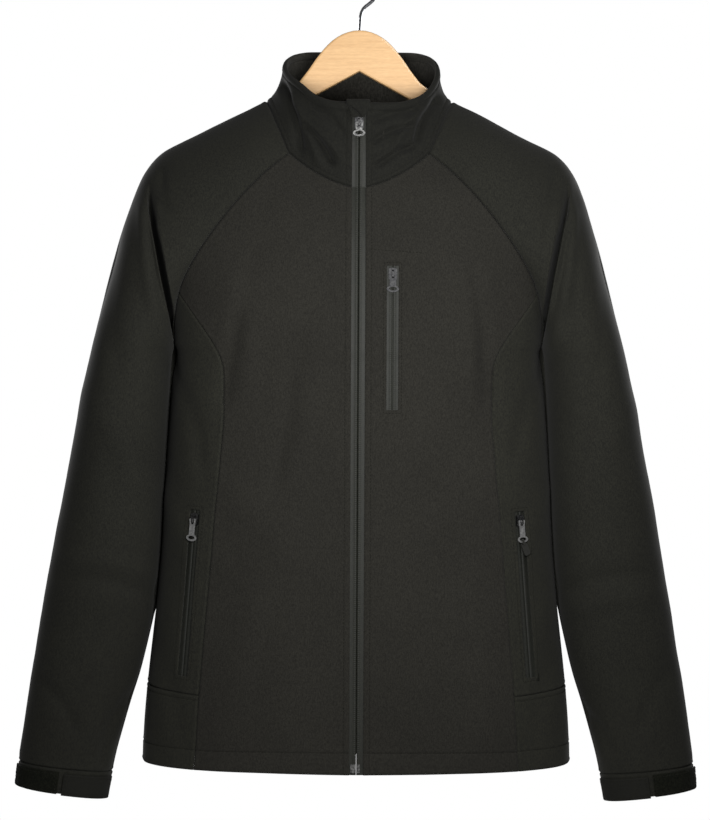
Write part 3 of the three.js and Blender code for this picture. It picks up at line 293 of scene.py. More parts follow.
def fold_lift(folds, x, down):
    """How far the folds lift a point, by its place seen from the front or the back."""
    lift = np.zeros(np.broadcast(x, down).shape)
    for x0, d0, x1, d1, bend, half, high in folds:
        dx, dd = x1 - x0, d1 - d0
        length = math.hypot(dx, dd)
        along = ((x - x0) * dx + (down - d0) * dd) / length
        t = np.clip(along / length, 0, 1)
        across = ((x - x0) * dd - (down - d0) * dx) / length - bend * 4 * t * (1 - t)
        past = np.maximum(np.maximum(-along, along - length), 0)
        lift += high * np.exp(-((across / half) ** 2) - (past / (2 * half)) ** 2)
    return lift


def body_point(turn, down):
    """A point of the body, by the turn from centre front (0) past the side seam (90) to the back (180)."""
    turn, down = np.broadcast_arrays(np.asarray(turn, float), np.asarray(down, float))
    angle = np.radians(turn)
    front = turn <= 90
    exponent = 2 / BODY.at("square", down)
    depth = np.where(front, BODY.at("front", down), BODY.at("back", down))
    x = BODY.at("half", down) * power(np.sin(angle), exponent)
    level = np.abs(power(np.cos(angle), exponent))
    folds = np.where(front, fold_lift(BODY_FOLDS_FRONT, x, down), fold_lift(BODY_FOLDS_BACK, x, down))
    y = np.where(front, -1, 1) * (depth * level + folds * np.minimum(1, level * 2))
    return np.stack([x, y, -down], axis=-1)


def turn_at(out, down, face=-1):
    """The turn at which the body is so far out, on its front or its back."""
    sine = np.minimum(1, (np.abs(out) / BODY.at("half", down)) ** (BODY.at("square", down) / 2))
    turn = np.degrees(np.arcsin(sine))
    return turn if face < 0 else 180 - turn


def raglan_point(face, step):
    rows = RAGLAN_FRONT if face < 0 else RAGLAN_BACK
    down = rows.at("down", step)
    return body_point(turn_at(rows.at("out", step), down, face), down)


def shoulder_point(face, step, t):
    """A section of the sleeve's top, from the raglan seam (t = 0) to the ridge (t = 1)."""
    start = raglan_point(face, step)
    level = (1 - t ** SHOULDER.at("round", step)) ** (1 / SHOULDER.at("round", step))
    swell = (1 - np.abs(2 * t - 1) ** 2.2) ** (1 / 2.2)
    reach = (t - SHOULDER.at("fold_at", step)) / SHOULDER.at("fold_half", step)
    fold = SHOULDER.at("fold", step) * BROAD_FOLD * bell(reach)
    x = mix(start[..., 0], SHOULDER.at("out", step), t)
    y = start[..., 1] * level + face * (SHOULDER.at("swell", step) * swell - fold)
    return np.stack([x, y, mix(start[..., 2], -SHOULDER.at("down", step), t)], axis=-1)


def sleeve_point(turn, down):
    """A point of the sleeve below the underarm, by the turn from its inner side past its front."""
    angle = np.radians(turn)
    inner, outer = SLEEVE.at("inner", down), SLEEVE.at("outer", down)
    depth = np.where(turn <= 180, SLEEVE.at("front", down), SLEEVE.at("back", down))
    exponent = 2 / 2.2
    x = (inner + outer) / 2 - (outer - inner) / 2 * power(np.cos(angle), exponent)
    return np.stack([x, -depth * power(np.sin(angle), exponent), -down], axis=-1)


def slanted(row, turn):
    """The height of a row round the sleeve, which is not the same on its inner and its outer side."""
    return mix(row["inner"], row["outer"], (1 - np.cos(np.radians(turn))) / 2)


# Cloth grids
class Edge:
    """How a panel's edge is finished: how far the cloth turns in, and where its topstitching lies."""

    def __init__(self, dip=1.3, stitch=0.0, groove=0.5, puff=0.35):
        self.dip, self.stitch, self.groove, self.puff = dip, stitch, groove, puff
        near = [0, 0.3, 0.7, 1.2, 2.0, 3.2, 5]
        if stitch:
            near = [s for s in near if s < stitch - 2]
            near += [stitch - 1.5, stitch - 0.7, stitch, stitch + 0.7, stitch + 1.6, stitch + 4]
        self.near = np.array(near, float)

    def height(self, away):
        lift = -self.dip * bell(away / 0.9)
        lift += self.puff * bell((away - 2.6) / 1.6)
        if self.stitch:
            lift -= self.groove * bell((away - self.stitch) / 0.8)
            lift += 0.5 * self.groove * bell((away - self.stitch) / 3.0)
        return lift

    def stitch_row(self):
        return int(np.argmin(np.abs(self.near - self.stitch)))


SEAM = Edge()
STITCHED_SEAM = Edge(stitch=5.2)
ZIP_EDGE = Edge(dip=0.5, puff=0.2, stitch=6.2)
HEM_EDGE = Edge(dip=0.7, stitch=21, groove=0.9, puff=0.6)
RIM_EDGE = Edge(dip=0.0, stitch=9, groove=1.0, puff=0.0)
CUFF_EDGE = Edge(dip=0.4, stitch=4.5, groove=0.5, puff=0.2)
RAW_EDGE = Edge(dip=0.5, puff=0.15, stitch=2.6, groove=0.4)


def distances(length, low, high, count):
    """Places along a length: close by each edge, and evenly between."""
    first, last = low.near[-1], high.near[-1]
    room = length[..., None] - first - last
    middle = first + room * np.linspace(0, 1, count + 2)[1:-1]
    near = np.broadcast_to(low.near, (*length.shape, len(low.near)))
    far = length[..., None] - high.near[::-1]
    return np.concatenate([near, middle, far], axis=-1)


def directions(points, flip=False):
    """Outward directions of a grid, rows going down and columns from the front round to the back."""
    out = unit(np.cross(np.gradient(points, axis=0), np.gradient(points, axis=1)))
    return -out if flip else out


def crowded(share, rows, coarse, runs, fold):
    """Draws the columns together at a deep fold, so that its walls are smooth."""
    apart = np.abs(coarse[..., 0]) - fold.at("x", -coarse[..., 2])
    nearest = np.argmin(np.abs(apart), axis=1)
    every = np.arange(len(coarse))
    middle = runs[every, nearest] / runs[:, -1]
    down = -coarse[every, nearest, 2]
    strength = FOLD_CROWDING * smooth((down - 215) / 25) * smooth((425 - down) / 25)
    middle, strength = np.interp(rows, every, middle), np.interp(rows, every, strength)
    t = np.linspace(0, 1, 240)
    close = 1 + strength[:, None] * bell((t - middle[:, None]) / 0.07)
    total = ((close[:, 1:] + close[:, :-1]) / 2).cumsum(axis=1)
    total = np.concatenate([np.zeros((len(close), 1)), total], axis=1)
    total /= total[:, -1:]
    return np.array([np.interp(row, line, t) for row, line in zip(share, total)])


class Panel:
    """A cloth piece as a grid of points. Rows go down from its top, columns from its left to its right.

    shape(u, v) gives its points, u and v from 0 to 1. The grid is close by the edges, so that the cloth
    turns in at a seam and dips under its topstitching.
    """

    def __init__(self, shape, left, right, top, bottom, pitch=2.6, along_pitch=None, flip=False, side=1,
                 fold=None):
        self.left, self.right, self.top, self.bottom, self.side = left, right, top, bottom, side
        u_rows, v_rows = np.linspace(0, 1, COARSE_U), np.linspace(0, 1, COARSE_V)
        coarse = shape(*np.meshgrid(u_rows, v_rows))
        runs = np.linalg.norm(np.diff(coarse, axis=1), axis=-1).cumsum(axis=1)
        runs = np.concatenate([np.zeros((COARSE_V, 1)), runs], axis=1)
        falls = np.linalg.norm(np.diff(coarse, axis=0), axis=-1).sum(axis=0)
        across = max(2, int((runs[:, -1].max() - left.near[-1] - right.near[-1]) / pitch))
        along = max(2, int((falls.max() - top.near[-1] - bottom.near[-1]) / (along_pitch or pitch)))
        columns = across + len(left.near) + len(right.near)
        length = np.interp(np.linspace(0, 1, columns), u_rows, falls)
        v = (distances(length, top, bottom, along) / length[:, None]).T
        row = np.clip(v * (COARSE_V - 1), 0, COARSE_V - 1.000001)
        low = row.astype(int)
        width = mix(runs[low, -1], runs[low + 1, -1], row - low)
        away = np.diagonal(distances(width, left, right, across), axis1=1, axis2=2)
        share = away / width
        if fold is not None:
            share = crowded(share, v.mean(axis=1) * (COARSE_V - 1), coarse, runs, fold)
            away = share * width
        u_table = np.array([np.interp(u_rows, run / run[-1], u_rows) for run in runs])
        spot = np.clip(share * (COARSE_U - 1), 0, COARSE_U - 1.000001)
        near = spot.astype(int)
        above = mix(u_table[low, near], u_table[low, near + 1], spot - near)
        below = mix(u_table[low + 1, near], u_table[low + 1, near + 1], spot - near)
        self.u, self.v = mix(above, below, row - low), v
        self.u[:, 0], self.u[:, -1] = 0, 1
        self.from_left, self.from_right = away, width - away
        self.from_top, self.from_bottom = v * length, (1 - v) * length
        self.points = shape(self.u, v)
        self.out = directions(self.points, flip)
        sides = left.height(self.from_left) + right.height(self.from_right)
        self.lift = sides + (top.height(self.from_top) + bottom.height(self.from_bottom))

    @property
    def x(self):
        return self.side * self.points[..., 0]

    @property
    def down(self):
        return -self.points[..., 2]

    def lean(self, away, shared, reach=4.0):
        """Turns the outward directions to the seam's own, near that seam."""
        near = bell(away / reach)[..., None]
        self.out = unit(self.out * (1 - near) + shared * near)

    def surface(self):
        return self.points + self.out * self.lift[..., None]

    def line(self, where):
        """The topstitching by one of the edges, as points just proud of the cloth."""
        row = getattr(self, where).stitch_row()
        raised = self.surface() + self.out * THREAD_PROUD
        if where in ("left", "right"):
            raised = raised.swapaxes(0, 1)
        return raised[row if where in ("left", "top") else -1 - row] * [self.side, 1, 1]


def soft_noise(x, y, size, seed):
    """Smooth uneven heights between -1 and 1, over cells of the given size."""
    table = np.random.default_rng(700 + seed).uniform(-1, 1, (97, 89))
    fx, fy = x / size + 1000, y / size + 1000
    ix, iy = np.floor(fx).astype(int), np.floor(fy).astype(int)
    tx, ty = smooth(fx - ix), smooth(fy - iy)

    def corner(i, j):
        return table[(ix + i) % 97, (iy + j) % 89]

    low = mix(corner(0, 0), corner(1, 0), tx)
    high = mix(corner(0, 1), corner(1, 1), tx)
    return mix(low, high, ty)


def cloth_ripple(x, down, seed):
    """The unevenness of cloth that hangs: broad soft waves and a little of finer ones."""
    wave = 1.0 * soft_noise(x, down * 0.45, 52, seed)
    wave += 0.42 * soft_noise(x, down * 0.6, 24, seed + 1)
    wave += 0.07 * soft_noise(x, down, 9, seed + 2)
    return wave


def seam_pucker(away, along, seed):
    """Small pulls in the cloth beside a stitched seam."""
    return 0.14 * soft_noise(along, away, 8, seed) * bell((away - 4) / 5)


def grid_mesh(name, points):
    """A smooth mesh of four-sided faces over a grid of points."""
    rows, columns = points.shape[:2]
    index = np.arange(rows * columns).reshape(rows, columns)
    corners = [index[:-1, :-1], index[1:, :-1], index[1:, 1:], index[:-1, 1:]]
    quads = np.stack(corners, axis=-1).reshape(-1, 4)
    mesh = bpy.data.meshes.new(name)
    mesh.vertices.add(rows * columns)
    mesh.vertices.foreach_set("co", (points * MM).reshape(-1))
    mesh.loops.add(len(quads) * 4)
    mesh.loops.foreach_set("vertex_index", quads.reshape(-1))
    mesh.polygons.add(len(quads))
    mesh.polygons.foreach_set("loop_start", np.arange(len(quads)) * 4)
    mesh.polygons.foreach_set("use_smooth", np.ones(len(quads), bool))
    mesh.update()
    mesh.validate()
    return mesh


def add_object(name, mesh, material=None):
    piece = bpy.data.objects.new(name, mesh)
    bpy.context.scene.collection.objects.link(piece)
    if material:
        mesh.materials.append(material)
    return piece


def add_cloth(name, points, material, side=1, thick=CLOTH):
    """A cloth piece from a grid of points of the right-hand side, mirrored where side is -1."""
    if side < 0:
        points = points[:, ::-1] * [-1, 1, 1]
    piece = add_object(name, grid_mesh(name, points), material)
    wall = piece.modifiers.new("wall", "SOLIDIFY")
    wall.thickness = thick * MM
    wall.offset = -1
    return piece


def ride_as(piece, node_name, slot):
    """Puts a cloth piece in its solid's place and hides that solid; the slot, its cloth, is not used."""
    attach(piece, "jacket")
    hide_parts(node_name)


# Shapes of the panels, by u across and v down
def front_shape(u, v):
    """Centre front, from the zip (u = 0) to the raglan seam and then the princess seam (u = 1)."""
    upper, lower = split(v, FRONT_SHARE)
    above = v < FRONT_SHARE
    princess_down = mix(CORNER, HEM["princess"], lower)
    step = upper * CORNER_STEP
    out = np.where(above, RAGLAN_FRONT.at("out", step), PRINCESS.at("out", princess_down))
    end = np.where(above, RAGLAN_FRONT.at("down", step), princess_down)
    centre = mix(NECKLINE["centre"], CENTRE_AT_CORNER, upper) + lower * (HEM["centre"] - CENTRE_AT_CORNER)
    bow = NECKLINE["bow"] * (1 - upper) ** 2
    down = mix(centre, end, u) + bow * 4 * u * (1 - u)
    return body_point(turn_at(mix(ZIP_HALF_OPENING, out, u), down), down)


def side_shape(top, bottom):
    """A side panel, from the princess seam (u = 0) to the side seam (u = 1)."""
    start = turn_at(PRINCESS.at("out", CORNER), CORNER)
    low_seam = CROSS_SEAM if bottom == "cross" else HEM

    def shape(u, v):
        step = CORNER_STEP + (LAST_STEP - CORNER_STEP) * u
        arm_down = RAGLAN_FRONT.at("down", step)
        sewn = turn_at(RAGLAN_FRONT.at("out", step), arm_down)
        share = np.clip((sewn - start) / (90 - start), 0, 1)
        high = arm_down if top == "armhole" else mix(CROSS_SEAM["princess"], CROSS_SEAM["side"], share)
        down = mix(high, mix(low_seam["princess"], low_seam["side"], share), v)
        turn = mix(turn_at(PRINCESS.at("out", down), down), 90, share)
        if top == "armhole":
            planned = mix(turn_at(PRINCESS.at("out", arm_down), arm_down), 90, share)
            turn = turn + (sewn - planned) * smooth(1 - (down - arm_down) / ARMHOLE_EASE)
        return body_point(turn, down)

    return shape


def back_shape(u, v):
    """The whole back, from the left side seam (u = 0) past the centre back to the right one (u = 1)."""
    half = np.abs(2 * u - 1)
    upper, below = split(v, BACK_SHARE)
    step = upper * LAST_STEP
    above = v < BACK_SHARE
    end_down = np.where(above, RAGLAN_BACK.at("down", step), mix(UNDERARM, HEM["side"], below))
    seam_turn = turn_at(RAGLAN_BACK.at("out", step), RAGLAN_BACK.at("down", step), 1)
    fall = (end_down - BACK_TOP) / (HEM["side"] - BACK_TOP)
    centre = mix(NECKLINE["back"], HEM["centre"], fall)
    points = body_point(mix(180, np.where(above, seam_turn, 90), half), mix(centre, end_down, half))
    points[..., 0] *= np.where(u < 0.5, -1, 1)
    return points


def sleeve_shape(face):
    """Half of a sleeve, from the raglan and underarm seams (u = 0) to the top of the arm (u = 1)."""

    def shape(u, v):
        upper, below = split(v, SLEEVE_SHARE)
        step = upper * LAST_STEP
        turn = np.degrees(np.arccos(np.clip(-power(2 * u - 1, 1.1), -1, 1)))
        lower = sleeve_point(turn if face < 0 else 360 - turn, mix(UNDERARM, slanted(CUFF_SEAM, turn), below))
        return np.where((v < SLEEVE_SHARE)[..., None], shoulder_point(face, step, u), lower)

    return shape


def steepness(shape, u, v, flip=False, gap=0.008):
    """The outward direction of a shape at (u, v)."""
    u, v = np.broadcast_arrays(np.asarray(u, float), np.asarray(v, float))
    across = shape(np.clip(u + gap, 0, 1), v) - shape(np.clip(u - gap, 0, 1), v)
    along = shape(u, np.clip(v + gap, 0, 1)) - shape(u, np.clip(v - gap, 0, 1))
    out = unit(np.cross(along, across))
    return -out if flip else out


def body_out(points, face):
    """The body's outward direction at points on it."""
    down = -points[..., 2]
    turn = np.clip(turn_at(points[..., 0], down, face), 1, 179)
    across = body_point(turn + 0.8, down) - body_point(turn - 0.8, down)
    along = body_point(turn, down + 3) - body_point(turn, down - 3)
    return unit(np.cross(along, across))


def raglan_out(face, step):
    """The raglan seam's own outward direction, which the body and the sleeve share."""
    step = np.asarray(step, float)
    sleeve = steepness(sleeve_shape(face), 0.02, step / LAST_STEP * SLEEVE_SHARE, flip=face > 0)
    under = smooth((step - 7) / 2.5)[..., None]
    shared = unit(body_out(raglan_point(face, step), face) + sleeve)
    low = smooth((step - 9.3) / 0.7)[..., None]
    below = unit(np.array([0, 0.75 * face, -0.66]) * (1 - low) + np.array([0, 0, -1]) * low)
    return unit(shared * (1 - under) + below * under)


def neck_line():
    """The neck seam, from the centre front round to the centre back, with the panels' outward directions."""
    t = np.linspace(0, 1, 80)
    points = [
        front_shape(t, np.zeros(80)),
        shoulder_point(-1, np.zeros(40), t[::2])[1:],
        shoulder_point(1, np.zeros(40), t[::-2])[1:],
        back_shape(1 - 0.5 * t, np.zeros(80))[1:],
    ]
    out = [
        steepness(front_shape, t, 0.0),
        steepness(sleeve_shape(-1), t[::2], 0.0)[1:],
        steepness(sleeve_shape(1), t[::-2], 0.0, flip=True)[1:],
        steepness(back_shape, 1 - 0.5 * t, 0.0, flip=True)[1:],
    ]
    points = np.concatenate(points)
    run = run_along(points)
    return run / run[-1], points, np.concatenate(out)


NECK_RUN, NECK_POINTS, NECK_PANEL_OUT = neck_line()


def collar_half(share, v):
    """The collar's right half: share goes from the zip to the centre back, v from the rim to the neck."""
    foot = at_run(share, NECK_RUN, NECK_POINTS)
    depth = np.where(foot[..., 1] < 0, NECK_FRONT, NECK_BACK)
    turn = np.degrees(np.arctan2(foot[..., 0] / NECK_HALF, -foot[..., 1] / depth))
    angle = np.radians(turn)
    rim_depth = np.where(turn <= 90, RIM_FRONT, RIM_BACK)
    rim = [RIM_HALF * np.sin(angle), -rim_depth * np.cos(angle), -RIM.at("down", turn)]
    rim = np.stack(rim, axis=-1)
    rim[..., 0] += 1.1 * np.exp(-share * 25)
    swell = COLLAR_SWELL * np.sin(np.pi * v)
    flare = v ** mix(1, COLLAR_FLARE, np.clip(np.sin(angle), 0, 1) ** 3)
    points = rim + (foot - rim) * np.stack([flare, flare, v], axis=-1)
    points[..., 0] += swell * np.sin(angle) * (1 - np.exp(-share * 60))
    points[..., 1] -= swell * np.cos(angle)
    return points


def collar_shape(u, v):
    """The whole collar, from the zip's right-hand side round the back to its left-hand side.

    The rim stands higher on the left and a little to the right, as the jacket hangs.
    """
    share = 1 - np.abs(2 * u - 1)
    side = np.where(u < 0.5, 1, -1)
    points = collar_half(share, v)
    points[..., 0] *= side
    points[..., 2] -= side * RIM_TILT * (1 - v) * bell((share - 0.36) / 0.19)
    points[..., 0] += RIM_SHIFT * (1 - v) * np.sin(np.pi * np.clip(share, 0, 1)) ** 0.5
    return points


def neck_out(points):
    """The neck seam's own outward direction, which the collar and the panels share, nearest to points."""
    shares = np.linspace(0, 1, 240)
    places = at_run(shares, NECK_RUN, NECK_POINTS)
    collar_out = steepness(collar_shape, shares / 2, 0.99)
    shared = unit(unit(at_run(shares, NECK_RUN, NECK_PANEL_OUT)) + collar_out)
    reach = np.concatenate([np.abs(points[..., 0:1]), points[..., 1:]], axis=-1)
    nearest = np.argmin(np.linalg.norm(reach[..., None, :] - places, axis=-1), axis=-1)
    found = shared[nearest].copy()
    found[..., 0] *= np.where(points[..., 0] < 0, -1, 1)
    return found


def cuff_shape(first, last, top, bottom):
    """Part of a cuff, from one turn round the sleeve to another and from one slanted row to another."""

    def shape(u, v):
        turn = mix(first, last, u)
        return sleeve_point(turn, mix(slanted(top, turn), slanted(bottom, turn), v))

    return shape


def lowered(row, by):
    return {"inner": row["inner"] + by, "outer": row["outer"] + by}


# Materials
def linear(hex_colour):
    """An sRGB hex colour as linear red, green, blue and alpha."""
    parts = [int(hex_colour[i : i + 2], 16) / 255 for i in (1, 3, 5)]
    return (*[c / 12.92 if c <= 0.04045 else ((c + 0.055) / 1.055) ** 2.4 for c in parts], 1)


def node(tree, kind, settings=None, **links):
    """Adds a node, sets its values, and links the outputs given for its inputs."""
    made = tree.nodes.new(kind)
    for key, value in (settings or {}).items():
        if key in made.inputs:
            made.inputs[key].default_value = value
        else:
            setattr(made, key, value)
    for key, output in links.items():
        tree.links.new(output, made.inputs[key.replace("_", " ")])
    return made


def new_material(name, colour, **surface):
    """A material with its own colour and the constants of its surface."""
    material = bpy.data.materials.new(name)
    material.use_nodes = True
    tree = material.node_tree
    shader = tree.nodes["Principled BSDF"]
    shader.inputs["Base Color"].default_value = linear(colour)
    for key, value in surface.items():
        shader.inputs[key.replace("_", " ")].default_value = value
    return material, tree, shader


def noise(tree, size, detail=3.0, stretch=None):
    """Noise whose features are about this many millimetres across, stretched along an axis if asked."""
    where = node(tree, "ShaderNodeTexCoord").outputs["Object"]
    if stretch:
        where = node(tree, "ShaderNodeMapping", {"Scale": stretch}, Vector=where).outputs["Vector"]
    settings = {"Scale": 1 / (size * MM), "Detail": detail, "Roughness": 0.6}
    return node(tree, "ShaderNodeTexNoise", settings, Vector=where).outputs["Fac"]


def ramp(tree, value, low, high):
    """A colour ramp between two places, each a position and a colour."""
    made = node(tree, "ShaderNodeValToRGB", Fac=value)
    for element, (position, colour) in zip(made.color_ramp.elements, (low, high)):
        element.position = position
        element.color = linear(colour)
    return made.outputs["Color"]


def shaded(tree, colour, value, low, high):
    """A colour made a little darker or paler by a value."""
    settings = {"From Min": 0.3, "From Max": 0.7, "To Min": low, "To Max": high}
    spread = node(tree, "ShaderNodeMapRange", settings, Value=value)
    changed = node(tree, "ShaderNodeHueSaturation", Color=colour, Value=spread.outputs["Result"])
    return changed.outputs["Color"]


def raise_surface(tree, shader, height, strength, distance):
    bump = node(tree, "ShaderNodeBump", {"Strength": strength, "Distance": distance * MM}, Height=height)
    tree.links.new(bump.outputs["Normal"], shader.inputs["Normal"])


def softshell(name, dark, pale, yarn=0.9, bump=0.5, roughness=0.9):
    """Polyester softshell, woven, brushed and bonded to fleece: matt, with a fleck finer than its yarn.

    Its yarns are 0.3 mm apart and are drawn three times as wide, so that the fleck shows from a step away.
    """
    material, tree, shader = new_material(name, dark, Roughness=roughness, IOR=1.53, Sheen_Weight=0.02,
                                          Sheen_Roughness=0.5, Specular_IOR_Level=0.12)
    fleck = noise(tree, yarn * 1.5, 2.0)
    streak = noise(tree, yarn, 1.0, stretch=(1, 1, 0.3))
    both = node(tree, "ShaderNodeMath", {"operation": "MULTIPLY_ADD"}, Value=fleck)
    halved = node(tree, "ShaderNodeMath", {"operation": "MULTIPLY"}, Value=streak)
    for sum_of in (both, halved):
        sum_of.inputs[1].default_value = 0.5
    tree.links.new(halved.outputs[0], both.inputs[2])
    colour = ramp(tree, both.outputs[0], (0.38, dark), (0.62, pale))
    tree.links.new(shaded(tree, colour, noise(tree, 110, 3.0), 0.9, 1.08), shader.inputs["Base Color"])
    raise_surface(tree, shader, both.outputs[0], bump, 0.12)
    return material


def grained(name, dark, pale, roughness, shine, size, detail, low, high, bump, deep, stretch=None):
    """A dull material whose grain runs from a dark colour to a paler one, and stands up a little."""
    material, tree, shader = new_material(name, dark, Roughness=roughness, IOR=1.5, Specular_IOR_Level=shine)
    grain = noise(tree, size, detail, stretch)
    tree.links.new(ramp(tree, grain, (low, dark), (high, pale)), shader.inputs["Base Color"])
    raise_surface(tree, shader, grain, bump, deep)
    return material


def pile(name, dark, pale):
    """Looped pile of a hook-and-loop strip: black, unlit between its loops, rough all over."""
    return grained(name, dark, pale, 1.0, 0.1, size=1.6, detail=4.0, low=0.4, high=0.66, bump=1.0, deep=0.8)


def coated_tape(name, dark, pale):
    """Woven polyester zip tape with a thin rubbery coat: a little smoother and paler than the cloth."""
    return grained(name, dark, pale, 0.6, 0.2, size=1.1, detail=2.0, low=0.35, high=0.7, bump=0.4, deep=0.1,
                   stretch=(1, 1, 0.35))


def moulded(name, dark, pale, roughness, shine):
    """Soft moulded plastic or bonded cloth tab: dark, smooth, its sheen broken by a fine grain."""
    return grained(name, dark, pale, roughness, shine, size=0.8, detail=2.0, low=0.35, high=0.7, bump=0.25,
                   deep=0.08)


def metal(name, dark, pale, roughness):
    """Cast zinc or drawn steel, plated: bright where it turns to the light, a little worn at random."""
    material, tree, shader = new_material(name, dark, Metallic=1.0, Roughness=roughness)
    wear = noise(tree, 2.2, 3.0)
    tree.links.new(ramp(tree, wear, (0.4, dark), (0.65, pale)), shader.inputs["Base Color"])
    settings = {"To Min": roughness * 0.75, "To Max": roughness * 1.35}
    spread = node(tree, "ShaderNodeMapRange", settings, Value=wear)
    tree.links.new(spread.outputs["Result"], shader.inputs["Roughness"])
    return material


def lacquered_wood():
    """Beech, planed, sanded and lacquered: pale and warm, its fine grain running out along the arms."""
    surface = {"Roughness": 0.45, "IOR": 1.5, "Coat_Weight": 0.2}
    material, tree, shader = new_material("lacquered_beech", "#b8936d", **surface)
    grain = noise(tree, 2.6, 4.0, stretch=(0.06, 1, 1))
    colour = ramp(tree, grain, (0.3, "#bb9465"), (0.7, "#caa474"))
    flecks = noise(tree, 1.2, 1.0, stretch=(0.18, 1, 1))
    tree.links.new(shaded(tree, colour, flecks, 0.93, 1.04), shader.inputs["Base Color"])
    raise_surface(tree, shader, grain, 0.12, 0.1)
    return material


# One softshell cloth in lit and shaded copies. The chest's copy is a touch paler, as painted light. The
# sleeves' and the collar's copies are darker, as painted shade. The body's copy is the plain one.
CHEST_CLOTH_PAINTED_LIGHT = softshell("brushed_softshell_chest_painted_light", "#151411", "#201f1b")
BODY_CLOTH = softshell("brushed_softshell_body", "#141411", "#20201a")
SLEEVE_CLOTH_PAINTED_SHADE = softshell("brushed_softshell_sleeve_painted_shade", "#12120f", "#1d1d18")
COLLAR_CLOTH_PAINTED_SHADE = softshell("brushed_softshell_collar_painted_shade", "#0d0d0b", "#171713")
LINING = softshell("bonded_fleece_inside", "#1b1a17", "#2c2b27", yarn=1.3, bump=0.8, roughness=0.97)
PILE = pile("looped_pile", "#070805", "#14150f")
ZIP_TAPE = coated_tape("coated_zip_tape", "#12130f", "#1b1c16")
POCKET_TAPE = coated_tape("plain_zip_tape", "#11120f", "#191a15")
THREAD = moulded("polyester_thread", "#131310", "#1f1f1a", roughness=0.9, shine=0.1)
TAB_CLOTH = moulded("bonded_cuff_tab", "#10100d", "#181815", roughness=0.85, shine=0.12)
TAB_RUBBER = moulded("moulded_pull_tab", "#151513", "#20201d", roughness=0.55, shine=0.3)
GUNMETAL = metal("gunmetal_plated_zinc", "#39393a", "#5a5a5a", 0.36)
# Paler plated zinc for the hand zips' pulls: painted light that they would catch
ZINC_PAINTED_LIGHT = metal("plated_zinc_painted_light", "#b4b4b4", "#d8d8d6", 0.3)
DULL_ZINC = metal("tumbled_zinc", "#4a4a4a", "#767674", 0.42)
# Darker plated zinc for the chest zip's slider and pull: painted shade where they face the key lamp
ZINC_PAINTED_SHADE = metal("plated_zinc_painted_shade", "#232324", "#3c3c3c", 0.55)
STEEL_WIRE = metal("plated_steel_wire", "#77797c", "#a2a4a8", 0.2)
BEECH = lacquered_wood()


# Sewing thread
def stitches(name, lines, material, pitch=3.4, length=2.5, thick=0.62):
    """Stitches along lines of points, each one a short pillow of thread."""
    ring = [(math.cos(a), math.sin(a)) for a in np.linspace(0, 2 * math.pi, 4, endpoint=False)]
    widths = ((0.0, 0.3), (0.3, 1.0), (0.7, 1.0), (1.0, 0.3))
    verts, faces = [], []
    for line in lines:
        run = run_along(line)
        count = int(run[-1] / pitch)
        for middle in (np.arange(count) + 0.5) * run[-1] / max(count, 1):
            start, end = at_run(np.array([middle - length / 2, middle + length / 2]), run, line)
            axis = unit(end - start)
            beside = unit(np.cross(axis, (0, 1, 0.1)))
            outward = np.cross(axis, beside)
            base = len(verts)
            for t, width in widths:
                centre = mix(start, end, t)
                verts += [(centre + (beside * c + outward * s) * width * thick / 2) * MM for c, s in ring]
            for k in range(base, base + 12, 4):
                faces += [(k + j, k + (j + 1) % 4, k + 4 + (j + 1) % 4, k + 4 + j) for j in range(4)]
    mesh = bpy.data.meshes.new(name)
    mesh.from_pydata([tuple(v) for v in verts], [], faces)
    mesh.polygons.foreach_set("use_smooth", np.ones(len(mesh.polygons), bool))
    piece = add_object(name, mesh, material)
    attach(piece, "jacket")


def laid_on(piece, points, raise_by=0.15):
    """Moves points on to the nearest place of a cloth piece, just proud of it."""
    faces = [face.vertices for face in piece.data.polygons]
    tree = BVHTree.FromPolygons([vert.co for vert in piece.data.vertices], faces)
    line = []
    for point in points:
        place, normal, _, _ = tree.find_nearest(Vector(point * MM))
        outward = normal if normal.y < 0 else -normal
        line.append(np.array(place + outward * raise_by * MM) / MM)
    return np.array(line)


# Zip slits
def zip_local(zip_row, side):
    """A slit's middle, its own up and across directions, and its half length, seen from the front."""
    up = Vector((side * (zip_row["x0"] - zip_row["x1"]), 0, zip_row["d1"] - zip_row["d0"]))
    middle = Vector((side * (zip_row["x0"] + zip_row["x1"]) / 2, 0, -(zip_row["d0"] + zip_row["d1"]) / 2))
    half_length = up.length / 2
    up.normalize()
    return middle, up, up.cross(Vector((0, 1, 0))), half_length


def cut_slit(piece, zip_row, side):
    """Cuts a zip's slit through the front of a panel."""
    middle, up, across, half_length = zip_local(zip_row, side)
    half_width = zip_row["width"] / 2
    mesh = bmesh.new()
    mesh.from_mesh(piece.data)

    def near(spare):
        found = []
        for face in mesh.faces:
            away = face.calc_center_median() / MM - middle
            beside = abs(away.dot(across)) < half_width + spare
            if beside and abs(away.dot(up)) < half_length + spare and away.y < -20:
                found.append(face)
        return found

    for normal, reach in ((across, half_width), (up, half_length)):
        for sign in (-1, 1):
            faces = near(8)
            edges = {edge for face in faces for edge in face.edges}
            verts = {vert for face in faces for vert in face.verts}
            place = (middle + normal * reach * sign) * MM
            bmesh.ops.bisect_plane(mesh, geom=[*faces, *edges, *verts], plane_co=place, plane_no=normal)
    bmesh.ops.delete(mesh, geom=near(-0.02), context="FACES")
    mesh.to_mesh(piece.data)
    mesh.free()


